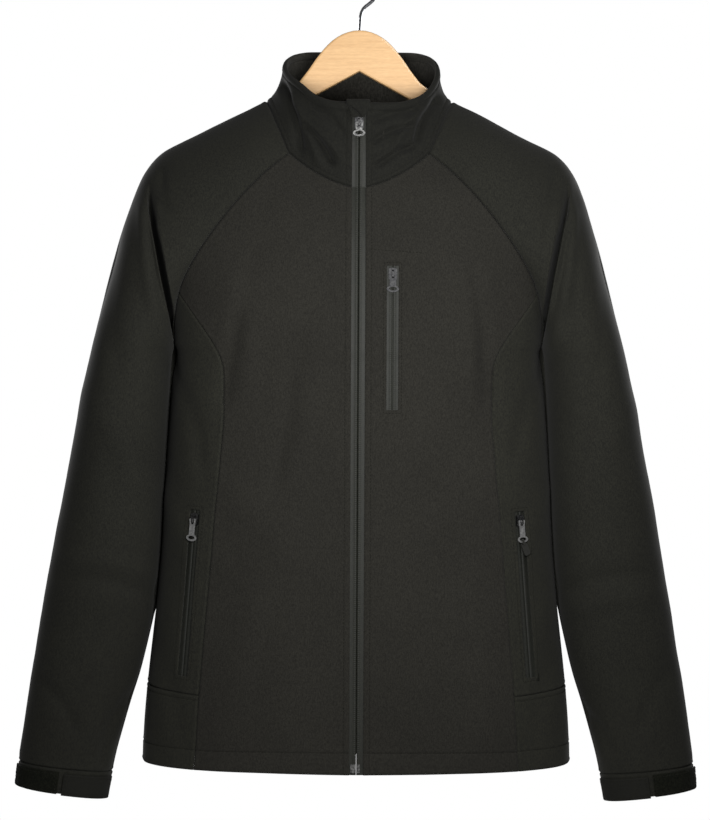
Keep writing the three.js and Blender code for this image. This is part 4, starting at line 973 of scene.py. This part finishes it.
def round_slit(zip_row, side, spare):
    """A line round a slit, at a distance from it, on the plain form of the body."""
    middle, up, across, half_length = zip_local(zip_row, side)
    half = zip_row["width"] / 2 + spare
    reach = half_length + spare
    corners = [(-half, reach), (half, reach), (half, -reach), (-half, -reach), (-half, reach)]
    line = []
    for (a0, b0), (a1, b1) in zip(corners, corners[1:]):
        for t in np.linspace(0, 1, max(2, int(math.hypot(a1 - a0, b1 - b0) / 2)), endpoint=False):
            line.append(middle + across * mix(a0, a1, t) + up * mix(b0, b1, t))
    line = np.array([*line, line[0]])
    x, down = line[:, 0], -line[:, 2]
    points = body_point(turn_at(x, down), down)
    points[:, 0] *= np.where(x < 0, -1, 1)
    return points


# Pieces of cloth
STITCH_LINES = []


def topstitch(panel, *edges):
    """Keeps the lines of the stitching by a panel's edges."""
    STITCH_LINES.extend(panel.line(edge) for edge in edges)


def armhole_depth(side, x, down):
    """How far back the sleeve goes in the fold beside the armhole."""
    fold = ARMHOLE_FOLD[side]
    away = (np.abs(x) - fold.at("x", down)) / fold.at("half", down)
    inside = (down > fold.rows[0, 0]) & (down < fold.rows[-1, 0])
    return np.where(inside, fold.at("deep", down) * smooth(1.2 - np.abs(away)), 0)


def build_front(side, name):
    """Centre front: from the zip to the raglan and princess seams, with the chest pocket's slit."""
    panel = Panel(front_shape, ZIP_EDGE, SEAM, SEAM, HEM_EDGE, pitch=3.1, side=side)
    step = np.clip(panel.v[:, -1] / FRONT_SHARE, 0, 1) * CORNER_STEP
    seam_out = np.where((panel.v[:, -1:] < FRONT_SHARE), raglan_out(-1, step), panel.out[:, -1])
    panel.lean(panel.from_right, seam_out[:, None])
    panel.lean(panel.from_top, neck_out(panel.points[0])[None])
    nearest = np.minimum(np.minimum(panel.from_left, panel.from_right), panel.from_top)
    quiet = smooth(nearest / FRONT_QUIET)
    uneven = cloth_ripple(panel.x, panel.down, 11 + side)
    panel.lift += (uneven + fold_lift(FRONT_CREASES, panel.x, panel.down)) * quiet
    panel.lift += seam_pucker(panel.from_right, panel.down, 31 + side)
    panel.lift += seam_pucker(panel.from_left, panel.down, 41 + side)
    piece = add_cloth(f"cloth_{name}", panel.surface(), CHEST_CLOTH_PAINTED_LIGHT, side)
    topstitch(panel, "left", "bottom")
    if side > 0:
        cut_slit(piece, CHEST_ZIP, side)
        STITCH_LINES.append(laid_on(piece, round_slit(CHEST_ZIP, side, 3.2)))
        across = np.linspace(16, 66, 30)
        down = mix(300, 304, across / 66)
        STITCH_LINES.append(laid_on(piece, body_point(turn_at(across, down), down)))
    ride_as(piece, name, "softshell_chest")


def build_side(side, name, top, bottom):
    """A side panel: the upper one has the hand pocket's slit, the lower one is its yoke down to the hem."""
    upper = top == "armhole"
    edges = (SEAM, SEAM) if upper else (STITCHED_SEAM, HEM_EDGE)
    panel = Panel(side_shape(top, bottom), SEAM, SEAM, *edges, side=side)
    panel.lean(panel.from_right, (panel.out[:, -1] * [1, 0, 1])[:, None])
    if upper:
        panel.lean(panel.from_top, raglan_out(-1, 7 + 3 * panel.u[0])[None])
    quiet = smooth(np.minimum(panel.from_left, panel.from_right) / SEAM_QUIET)
    uneven = cloth_ripple(panel.points[..., 1], panel.down, 51 + side) * 0.8
    panel.lift += (uneven + fold_lift(SIDE_CREASES, panel.x, panel.down)) * quiet
    panel.lift += seam_pucker(panel.from_left, panel.down, 61 + side)
    if upper:
        press = smooth((panel.down - 402) / 30) * smooth((690 - panel.down) / 60)
        panel.lift += 1.2 * press * bell(panel.from_right / 18)
    piece = add_cloth(f"cloth_{name}", panel.surface(), BODY_CLOTH, side)
    if upper:
        cut_slit(piece, HAND_ZIP, side)
        STITCH_LINES.append(laid_on(piece, round_slit(HAND_ZIP, side, 3.6)))
    else:
        topstitch(panel, "bottom", "top")
    ride_as(piece, name, "softshell_body")


def build_back():
    """The back, cut in one piece."""
    panel = Panel(back_shape, SEAM, SEAM, SEAM, HEM_EDGE, pitch=5.2, flip=True)
    step = np.clip(panel.v[:, -1] / BACK_SHARE, 0, 1) * LAST_STEP
    seam_out = np.where(panel.v[:, -1:] < BACK_SHARE, raglan_out(1, step), panel.out[:, -1] * [1, 0, 1])
    panel.lean(panel.from_right, seam_out[:, None])
    panel.lean(panel.from_left, (seam_out * [-1, 1, 1])[:, None])
    panel.lean(panel.from_top, neck_out(panel.points[0])[None])
    quiet = smooth(np.minimum(panel.from_left, panel.from_right) / SEAM_QUIET)
    uneven = cloth_ripple(panel.x, panel.down, 71)
    panel.lift += (uneven + fold_lift(BACK_CREASES, panel.x, panel.down)) * quiet
    piece = add_cloth("cloth_back", panel.surface()[:, ::-1], BODY_CLOTH)
    topstitch(panel, "bottom")
    ride_as(piece, "back", "softshell_body")


def ease_kink(panel):
    """Rounds the bend where the sleeve's top meets its tube, away from the raglan seam."""
    eased = panel.points.copy()
    from_bend = np.arange(len(eased)) - np.argmin(np.abs(panel.v[:, 0] - SLEEVE_SHARE))
    weight = bell(from_bend * 3.4 / KINK_REACH)[1:-1, None]
    weight = weight * smooth((panel.from_left[1:-1] - 4) / 16)
    for _ in range(24):
        eased[1:-1] += ((eased[:-2] + eased[2:]) / 2 - eased[1:-1]) * weight[..., None]
    return eased


def build_sleeve(side, face, name):
    """Half a sleeve, its fold beside the armhole pushed in and its inner side near the body."""
    front = face < 0
    panel = Panel(sleeve_shape(face), SEAM, SEAM, SEAM, SEAM, pitch=2.0 if front else 3.4, along_pitch=3.8,
                  flip=not front, side=side, fold=ARMHOLE_FOLD[side] if front else None)
    panel.points = ease_kink(panel)
    panel.out = directions(panel.points, not front)
    step = np.clip(panel.v[:, 0] / SLEEVE_SHARE, 0, 1) * LAST_STEP
    seam_out = np.where(panel.v[:, :1] < SLEEVE_SHARE, raglan_out(face, step), np.array([-1.0, 0, 0]))
    panel.lean(panel.from_left, seam_out[:, None])
    panel.lean(panel.from_right, unit(panel.out[:, -1] * [1, 0, 1])[:, None], reach=8)
    panel.lean(panel.from_top, neck_out(panel.points[0])[None])
    above_cuff = smooth(panel.from_bottom / 12)
    quiet = smooth(np.minimum(panel.from_left, panel.from_top) / SEAM_QUIET) * above_cuff
    panel.lift -= panel.right.height(panel.from_right) * 0.6
    uneven = cloth_ripple(panel.x + 40 * side, panel.down, 81 if side < 0 else 95) * quiet
    apart = smooth(panel.from_left / 8) * smooth((panel.from_right - 2) / 14) * above_cuff
    creases = SLEEVE_CREASES if front else SLEEVE_BACK_CREASES
    panel.lift += uneven + fold_lift(creases, panel.x, panel.down) * apart
    surface = panel.surface()
    if front:
        depth = armhole_depth(side, panel.x, panel.down) * smooth(panel.from_left / 3)
        surface[..., 1] += depth
        surface[..., 0] += depth * FOLD_ASLANT
    else:
        near_body = smooth((panel.down - 386) / 9) * smooth((715 - panel.down) / 70)
        near_body *= np.maximum(smooth(panel.from_left / 12), smooth((panel.down - UNDERARM) / 4))
        touching = 7.5 + 3.5 * bell((panel.down - 416) / 22)
        surface[..., 0] -= touching * near_body * bell((panel.points[..., 1] - 27) / 20)
        surface = surface[:, ::-1]
    piece = add_cloth(f"cloth_{name}", surface, SLEEVE_CLOTH_PAINTED_SHADE, side)
    ride_as(piece, name, "softshell_sleeve")


def collar_layer(panel):
    """What both layers of the collar share: the round of the rolled rim, its band, and how far in front."""
    rolled = np.clip(1 - panel.from_top / 2.4, 0, 1)
    rounded = 1 - np.sqrt(np.clip(1 - rolled**2, 0, 1))
    band = np.exp(-(((panel.from_top - 4.6) / 3.4) ** 4))
    return rounded, band, smooth((6 - panel.points[..., 1]) / 20)


def build_collar():
    """The collar: an outer layer with its rolled rim, and an inner one that shows at the back."""
    outer = Panel(collar_shape, ZIP_EDGE, ZIP_EDGE, RIM_EDGE, STITCHED_SEAM, pitch=2.2)
    outer.lean(outer.from_bottom, neck_out(outer.points[-1])[None])
    rounded, band, in_front = collar_layer(outer)
    outer.lift += 1.5 * band
    outer.lift -= 2.0 * rounded
    quiet = smooth(outer.from_top / 14) * smooth(outer.from_bottom / 9)
    quiet *= smooth(np.minimum(outer.from_left, outer.from_right) / 10)
    around = outer.x + outer.points[..., 1]
    outer.lift += fold_lift(COLLAR_CREASES, outer.x, outer.down) * quiet * in_front
    outer.lift += cloth_ripple(around, outer.down * 1.4, 131) * 0.6 * quiet
    outer.lift += seam_pucker(outer.from_top - 6, around, 141) * 2.5
    piece = add_cloth("cloth_collar_outer", outer.surface(), COLLAR_CLOTH_PAINTED_SHADE)
    topstitch(outer, "left", "right", "top", "bottom")
    ride_as(piece, "collar_outer", "softshell_collar")

    def inner_shape(u, v):
        return collar_shape(mix(0.035, 0.965, u), v * 0.86)

    inner = Panel(inner_shape, SEAM, SEAM, RIM_EDGE, SEAM)
    rounded, band, in_front = collar_layer(inner)
    below_rim = smooth(inner.from_top / 14)
    inner.lift *= -0.6
    inner.lift -= CLOTH + SEAM_GAP + 1.4 - 1.5 * rounded
    inner.lift -= 1.0 * band
    inner.lift += np.minimum(fold_lift(COLLAR_CREASES, inner.x, inner.down), 0) * (in_front * below_rim)
    uneven = soft_noise(inner.x + inner.points[..., 1], inner.down, 18, 151)
    inner.lift += uneven * smooth(inner.from_top / 12)
    piece = add_cloth("cloth_collar_inner", inner.surface()[:, ::-1], LINING, thick=1.3)
    STITCH_LINES.append(inner.line("top") - inner.out[inner.top.stitch_row()] * 0.25)
    ride_as(piece, "collar_inner", "fleece_inside")


def build_cuff(side, word):
    """The cuff: a turned band, a strip of looped pile round its outer side and a tab that closes it."""
    band = Panel(cuff_shape(0, 360, CUFF_SEAM, CUFF_END), SEAM, SEAM, SEAM, CUFF_EDGE, side=side)
    level = unit(band.out[:, 0] * [1, 0, 1] + band.out[:, -1] * [1, 0, 1])
    band.lean(band.from_left, level[:, None])
    band.lean(band.from_right, level[:, None])
    band.lift += 0.5 * soft_noise(band.x * 2, band.down, 15, 171)
    piece = add_cloth(f"cloth_cuff_band_{word}", band.surface(), SLEEVE_CLOTH_PAINTED_SHADE, side)
    topstitch(band, "bottom")
    ride_as(piece, f"cuff_band_{word}", "softshell_sleeve")
    layers = (
        ("strip", 92, 172, 3, 0.5, PILE, "loop_tape", 0.1),
        ("tab", 6, 88, 5, 1.5, TAB_CLOTH, "tab", 0.095),
    )
    for layer, first, last, top, bottom, material, slot, width in layers:
        shape = cuff_shape(first, last, lowered(CUFF_SEAM, top), lowered(CUFF_END, bottom))
        panel = Panel(shape, RAW_EDGE, RAW_EDGE, RAW_EDGE, RAW_EDGE, pitch=1.5, side=side)
        panel.lift += 2.0
        if layer == "strip":
            panel.lift += 0.35 * soft_noise(panel.x, panel.down, 1.9, 181)
            panel.lift += 0.25 * soft_noise(panel.down, panel.x, 3.1, 182)
        piece = add_cloth(f"cloth_cuff_{layer}_{word}", panel.surface(), material, side, thick=1.5)
        topstitch(panel, "left", "right", "top", "bottom")
        ride_as(piece, f"cuff_{layer}_{word}", slot)


# Zips
def tape_lift(spots, runs):
    """How a coated reverse-coil tape stands: two flat halves, a gap between, and ribs beside the gap."""
    away, run = spots[None, :], runs[:, None]
    gap = -0.5 * bell(away / 0.45)
    beside = np.abs(away) - 1.9
    ribs = 0.3 * np.cos(2 * np.pi * run / COIL_PITCH) * bell(beside)
    return gap + ribs + 0.5 * bell(beside / 1.5) - TAPE_RECESS + 0.7


def build_slit_tape(name, zip_row, side, material):
    """A pocket zip's tape behind its slit."""
    half = zip_row["width"] / 2 + TAPE_MARGIN
    spots = np.concatenate([[-half], -TAPE_ACROSS[:0:-1], TAPE_ACROSS, [half]])
    length = zip_row["d1"] - zip_row["d0"]
    runs = np.arange(-TAPE_MARGIN, length + TAPE_MARGIN, COIL_PITCH / 3)
    down = (zip_row["d0"] + runs)[:, None] + 0 * spots
    x = mix(zip_row["x0"], zip_row["x1"], runs / length)[:, None] + spots
    points = body_point(turn_at(x, down), down)
    points = points + body_out(points, -1) * tape_lift(spots, runs)[..., None]
    piece = add_cloth(f"zip_{name}", points, material, side, thick=TAPE_THICK)
    ride_as(piece, name, "zip_tape")


def build_main_tape(side, name):
    """Half of the main zip's tape, up the centre front from the hem to the collar's rim."""
    collar = collar_half(np.zeros(40), np.linspace(0, 1, 40))
    front = front_shape(np.zeros(240), np.linspace(0, 1, 240))
    centre = np.concatenate([collar[:-1], front])
    run = run_along(centre)
    runs = np.arange(0, run[-1], COIL_PITCH / 3)
    line = at_run(runs, run, centre)
    out = unit(np.cross(unit(np.gradient(line, axis=0)), [1, 0, 0]))
    out = np.where(out[:, 1:2] > 0, -out, out)
    eased = out.copy()
    for _ in range(60):
        eased[1:-1] = (eased[:-2] + eased[2:]) / 2
    out = unit(eased)
    spots = np.concatenate([[SEAM_GAP / 2], TAPE_ACROSS[1:], [8, 10, TAPE_HALF]])
    points = np.repeat(line[:, None], len(spots), axis=1)
    points[..., 0] = spots
    points = points + out[:, None] * tape_lift(spots, runs)[..., None]
    piece = add_cloth(f"zip_{name}", points, ZIP_TAPE, side, thick=TAPE_THICK)
    ride_as(piece, name, "zip_tape")


def build_garage():
    """The zip garage: a strip folded over the top of the zip, with its fold lying aslant."""
    outer, inner, rise = RIM_FRONT + 1.7, RIM_FRONT - 6.5, 4.0
    middle, half, crest = (outer + inner) / 2, (outer - inner) / 2, GARAGE["top"] + rise
    up = np.linspace(0, 1, 16)[:-1]
    behind = np.linspace(0, 1, 8)[1:]
    path = [(mix(outer + GARAGE["foot_lean"], outer, t), mix(GARAGE["foot"], crest, t)) for t in up]
    arc = np.radians(np.linspace(0, 180, 17))
    path += [(middle + half * math.cos(a), crest - rise * math.sin(a)) for a in arc]
    path += [(inner, mix(crest, GARAGE["inside"], t)) for t in behind]
    path = np.array(path)
    run = run_along(path)
    tangent = unit(np.gradient(path, axis=0))
    normal = np.stack([-tangent[:, 1], tangent[:, 0]], axis=-1)
    normal *= np.sign(normal[0, 0])
    rows, share = np.meshgrid(np.arange(len(path)), np.linspace(0, 1, 25), indexing="ij")
    run = run[rows]
    widest = smooth(run / 17)
    left = mix(GARAGE["foot_left"], GARAGE["left"], widest)
    right = mix(GARAGE["foot_right"], GARAGE["right"], widest)
    columns = mix(left, right, share)
    aslant = (share - 0.86) * 17 + run * 0.9
    lift = 1.3 * bell((aslant - 1.5) / 2.2) - 1.5 * bell((aslant + 2) / 1.6)
    lift += 0.8 * bell((aslant + 7) / 2.6)
    lift -= 0.7 * bell(np.minimum(columns - left, right - columns) / 0.8)
    place = path[rows] + normal[rows] * lift[..., None]
    points = np.stack([columns, -place[..., 0], -place[..., 1]], axis=-1)
    piece = add_cloth("cloth_zip_garage", points, COLLAR_CLOTH_PAINTED_SHADE, thick=1.4)
    ride_as(piece, "zip_garage", "softshell_collar")


# Hard pieces that keep their solids
def finish_hard(name, material, bevel=0.0):
    """Gives a solid of the frame its material, with its edges eased as they are on the real piece."""
    piece = bpy.data.objects[name]
    piece.data.materials.clear()
    piece.data.materials.append(material)
    if bevel:
        eased = piece.modifiers.new("eased_edges", "BEVEL")
        eased.width = bevel * MM
        eased.segments = 2
        eased.limit_method = "ANGLE"
        eased.angle_limit = math.radians(30)
        eased.harden_normals = True


for side, word in ((1, "right"), (-1, "left")):
    build_front(side, f"front_centre_{word}")
    build_side(side, f"front_side_upper_{word}", "armhole", "cross")
    build_side(side, f"front_side_lower_{word}", "cross", "hem")
    build_sleeve(side, -1, f"sleeve_front_{word}")
    build_sleeve(side, 1, f"sleeve_back_{word}")
    build_cuff(side, word)
    build_main_tape(side, f"main_zip_tape_{word}")
    build_slit_tape(f"hand_zip_tape_{word}", HAND_ZIP, side, POCKET_TAPE)
build_slit_tape("chest_zip_tape", CHEST_ZIP, 1, ZIP_TAPE)
build_back()
build_collar()
build_garage()
stitches("topstitching", STITCH_LINES, THREAD)

# The main zip's pull takes tumbled zinc. The chest zip's slider and pull take the zinc darkened for painted
# shade.
PULL_FINISH_AND_PAINTED_SHADE = {"main_zip": DULL_ZINC, "chest_zip": ZINC_PAINTED_SHADE}
SLIDER_PAINTED_SHADE = {"chest_zip": ZINC_PAINTED_SHADE}
# The hand zips' pulls fall back on the zinc paled for painted light.
for name in ("main_zip", "chest_zip", "hand_zip_left", "hand_zip_right"):
    finish_hard(f"{name}_slider", SLIDER_PAINTED_SHADE.get(name, GUNMETAL), 0.25)
    finish_hard(f"{name}_pull", PULL_FINISH_AND_PAINTED_SHADE.get(name, ZINC_PAINTED_LIGHT), 0.2)
for name in ("main_zip_box", "main_zip_pin"):
    finish_hard(name, DULL_ZINC, 0.3)
finish_hard("hand_zip_right_tab", TAB_RUBBER, 0.3)
finish_hard("hanger_hook", STEEL_WIRE)
finish_hard("hanger_wood", BEECH)


# Camera, light and floor
PIXEL = 1.07
FRAME_WIDTH, FRAME_HEIGHT = 710, 820
CAMERA_AWAY = 3000
SENSOR = 36
AXIS_PIXEL = 357.7
MIDDLE_DOWN = (FRAME_HEIGHT / 2 + 27) * PIXEL
LEAN = -0.28

# Light from all round, as a share of the white seen behind the jacket
SKY_LIGHT = 0.2

# The floor far below, in metres
FLOOR_HALF, FLOOR_HEIGHT = 1.6, -1.25


def add_camera():
    """The camera, level and far off, with the jacket placed and leaning as in the photo."""
    data = bpy.data.cameras.new("camera")
    data.sensor_fit = "HORIZONTAL"
    data.sensor_width = SENSOR
    data.lens = SENSOR * CAMERA_AWAY / (FRAME_WIDTH * PIXEL)
    data.clip_end = 50
    camera = add_object("camera", data)
    offset = (FRAME_WIDTH / 2 - AXIS_PIXEL) * PIXEL
    camera.location = Vector((offset, -CAMERA_AWAY, -MIDDLE_DOWN)) * MM
    camera.rotation_euler = (math.pi / 2, math.radians(LEAN), 0)
    bpy.context.scene.camera = camera


def add_light(name, place, aim, size, watts):
    """A square lamp at a place, turned to what it lights."""
    data = bpy.data.lights.new(name, "AREA")
    data.shape = "SQUARE"
    data.size = size
    data.energy = watts
    lamp = add_object(name, data)
    lamp.location = place
    lamp.rotation_euler = (Vector(aim) - Vector(place)).to_track_quat("-Z", "Y").to_euler()


def add_studio():
    """A white room that lights the jacket only a little, four lamps, and a floor far below."""
    bpy.context.scene.view_settings.view_transform = "Standard"
    world = bpy.data.worlds.new("studio")
    world.use_nodes = True
    bpy.context.scene.world = world
    tree = world.node_tree
    backdrop = tree.nodes["Background"]
    backdrop.inputs["Color"].default_value = (1, 1, 1, 1)
    seen = node(tree, "ShaderNodeLightPath").outputs["Is Camera Ray"]
    strength = node(tree, "ShaderNodeMapRange", {"To Min": SKY_LIGHT, "To Max": 1.0}, Value=seen)
    tree.links.new(strength.outputs["Result"], backdrop.inputs["Strength"])
    add_light("key", (0.06, -0.8, -0.36), (0.03, 0, -0.36), 0.3, 9.9)
    add_light("top", (0.5, -0.6, 0.45), (0, 0, -0.15), 0.35, 4.5)
    add_light("back_left", (-0.9, 1.1, -0.1), (-0.1, 0, -0.4), 0.7, 13)
    add_light("back_right", (0.9, 1.1, -0.1), (0.1, 0, -0.4), 0.7, 13)
    turns = np.linspace(0, 2 * math.pi, 64, endpoint=False)
    rim = [(FLOOR_HALF * math.cos(a), FLOOR_HALF * math.sin(a), FLOOR_HEIGHT) for a in turns]
    floor = bpy.data.meshes.new("floor")
    floor.from_pydata(rim, [], [tuple(range(len(rim)))])
    material, _, _ = new_material("pale_floor", "#e8e8e6", Roughness=0.9)
    add_object("floor", floor, material)


add_camera()
add_studio()
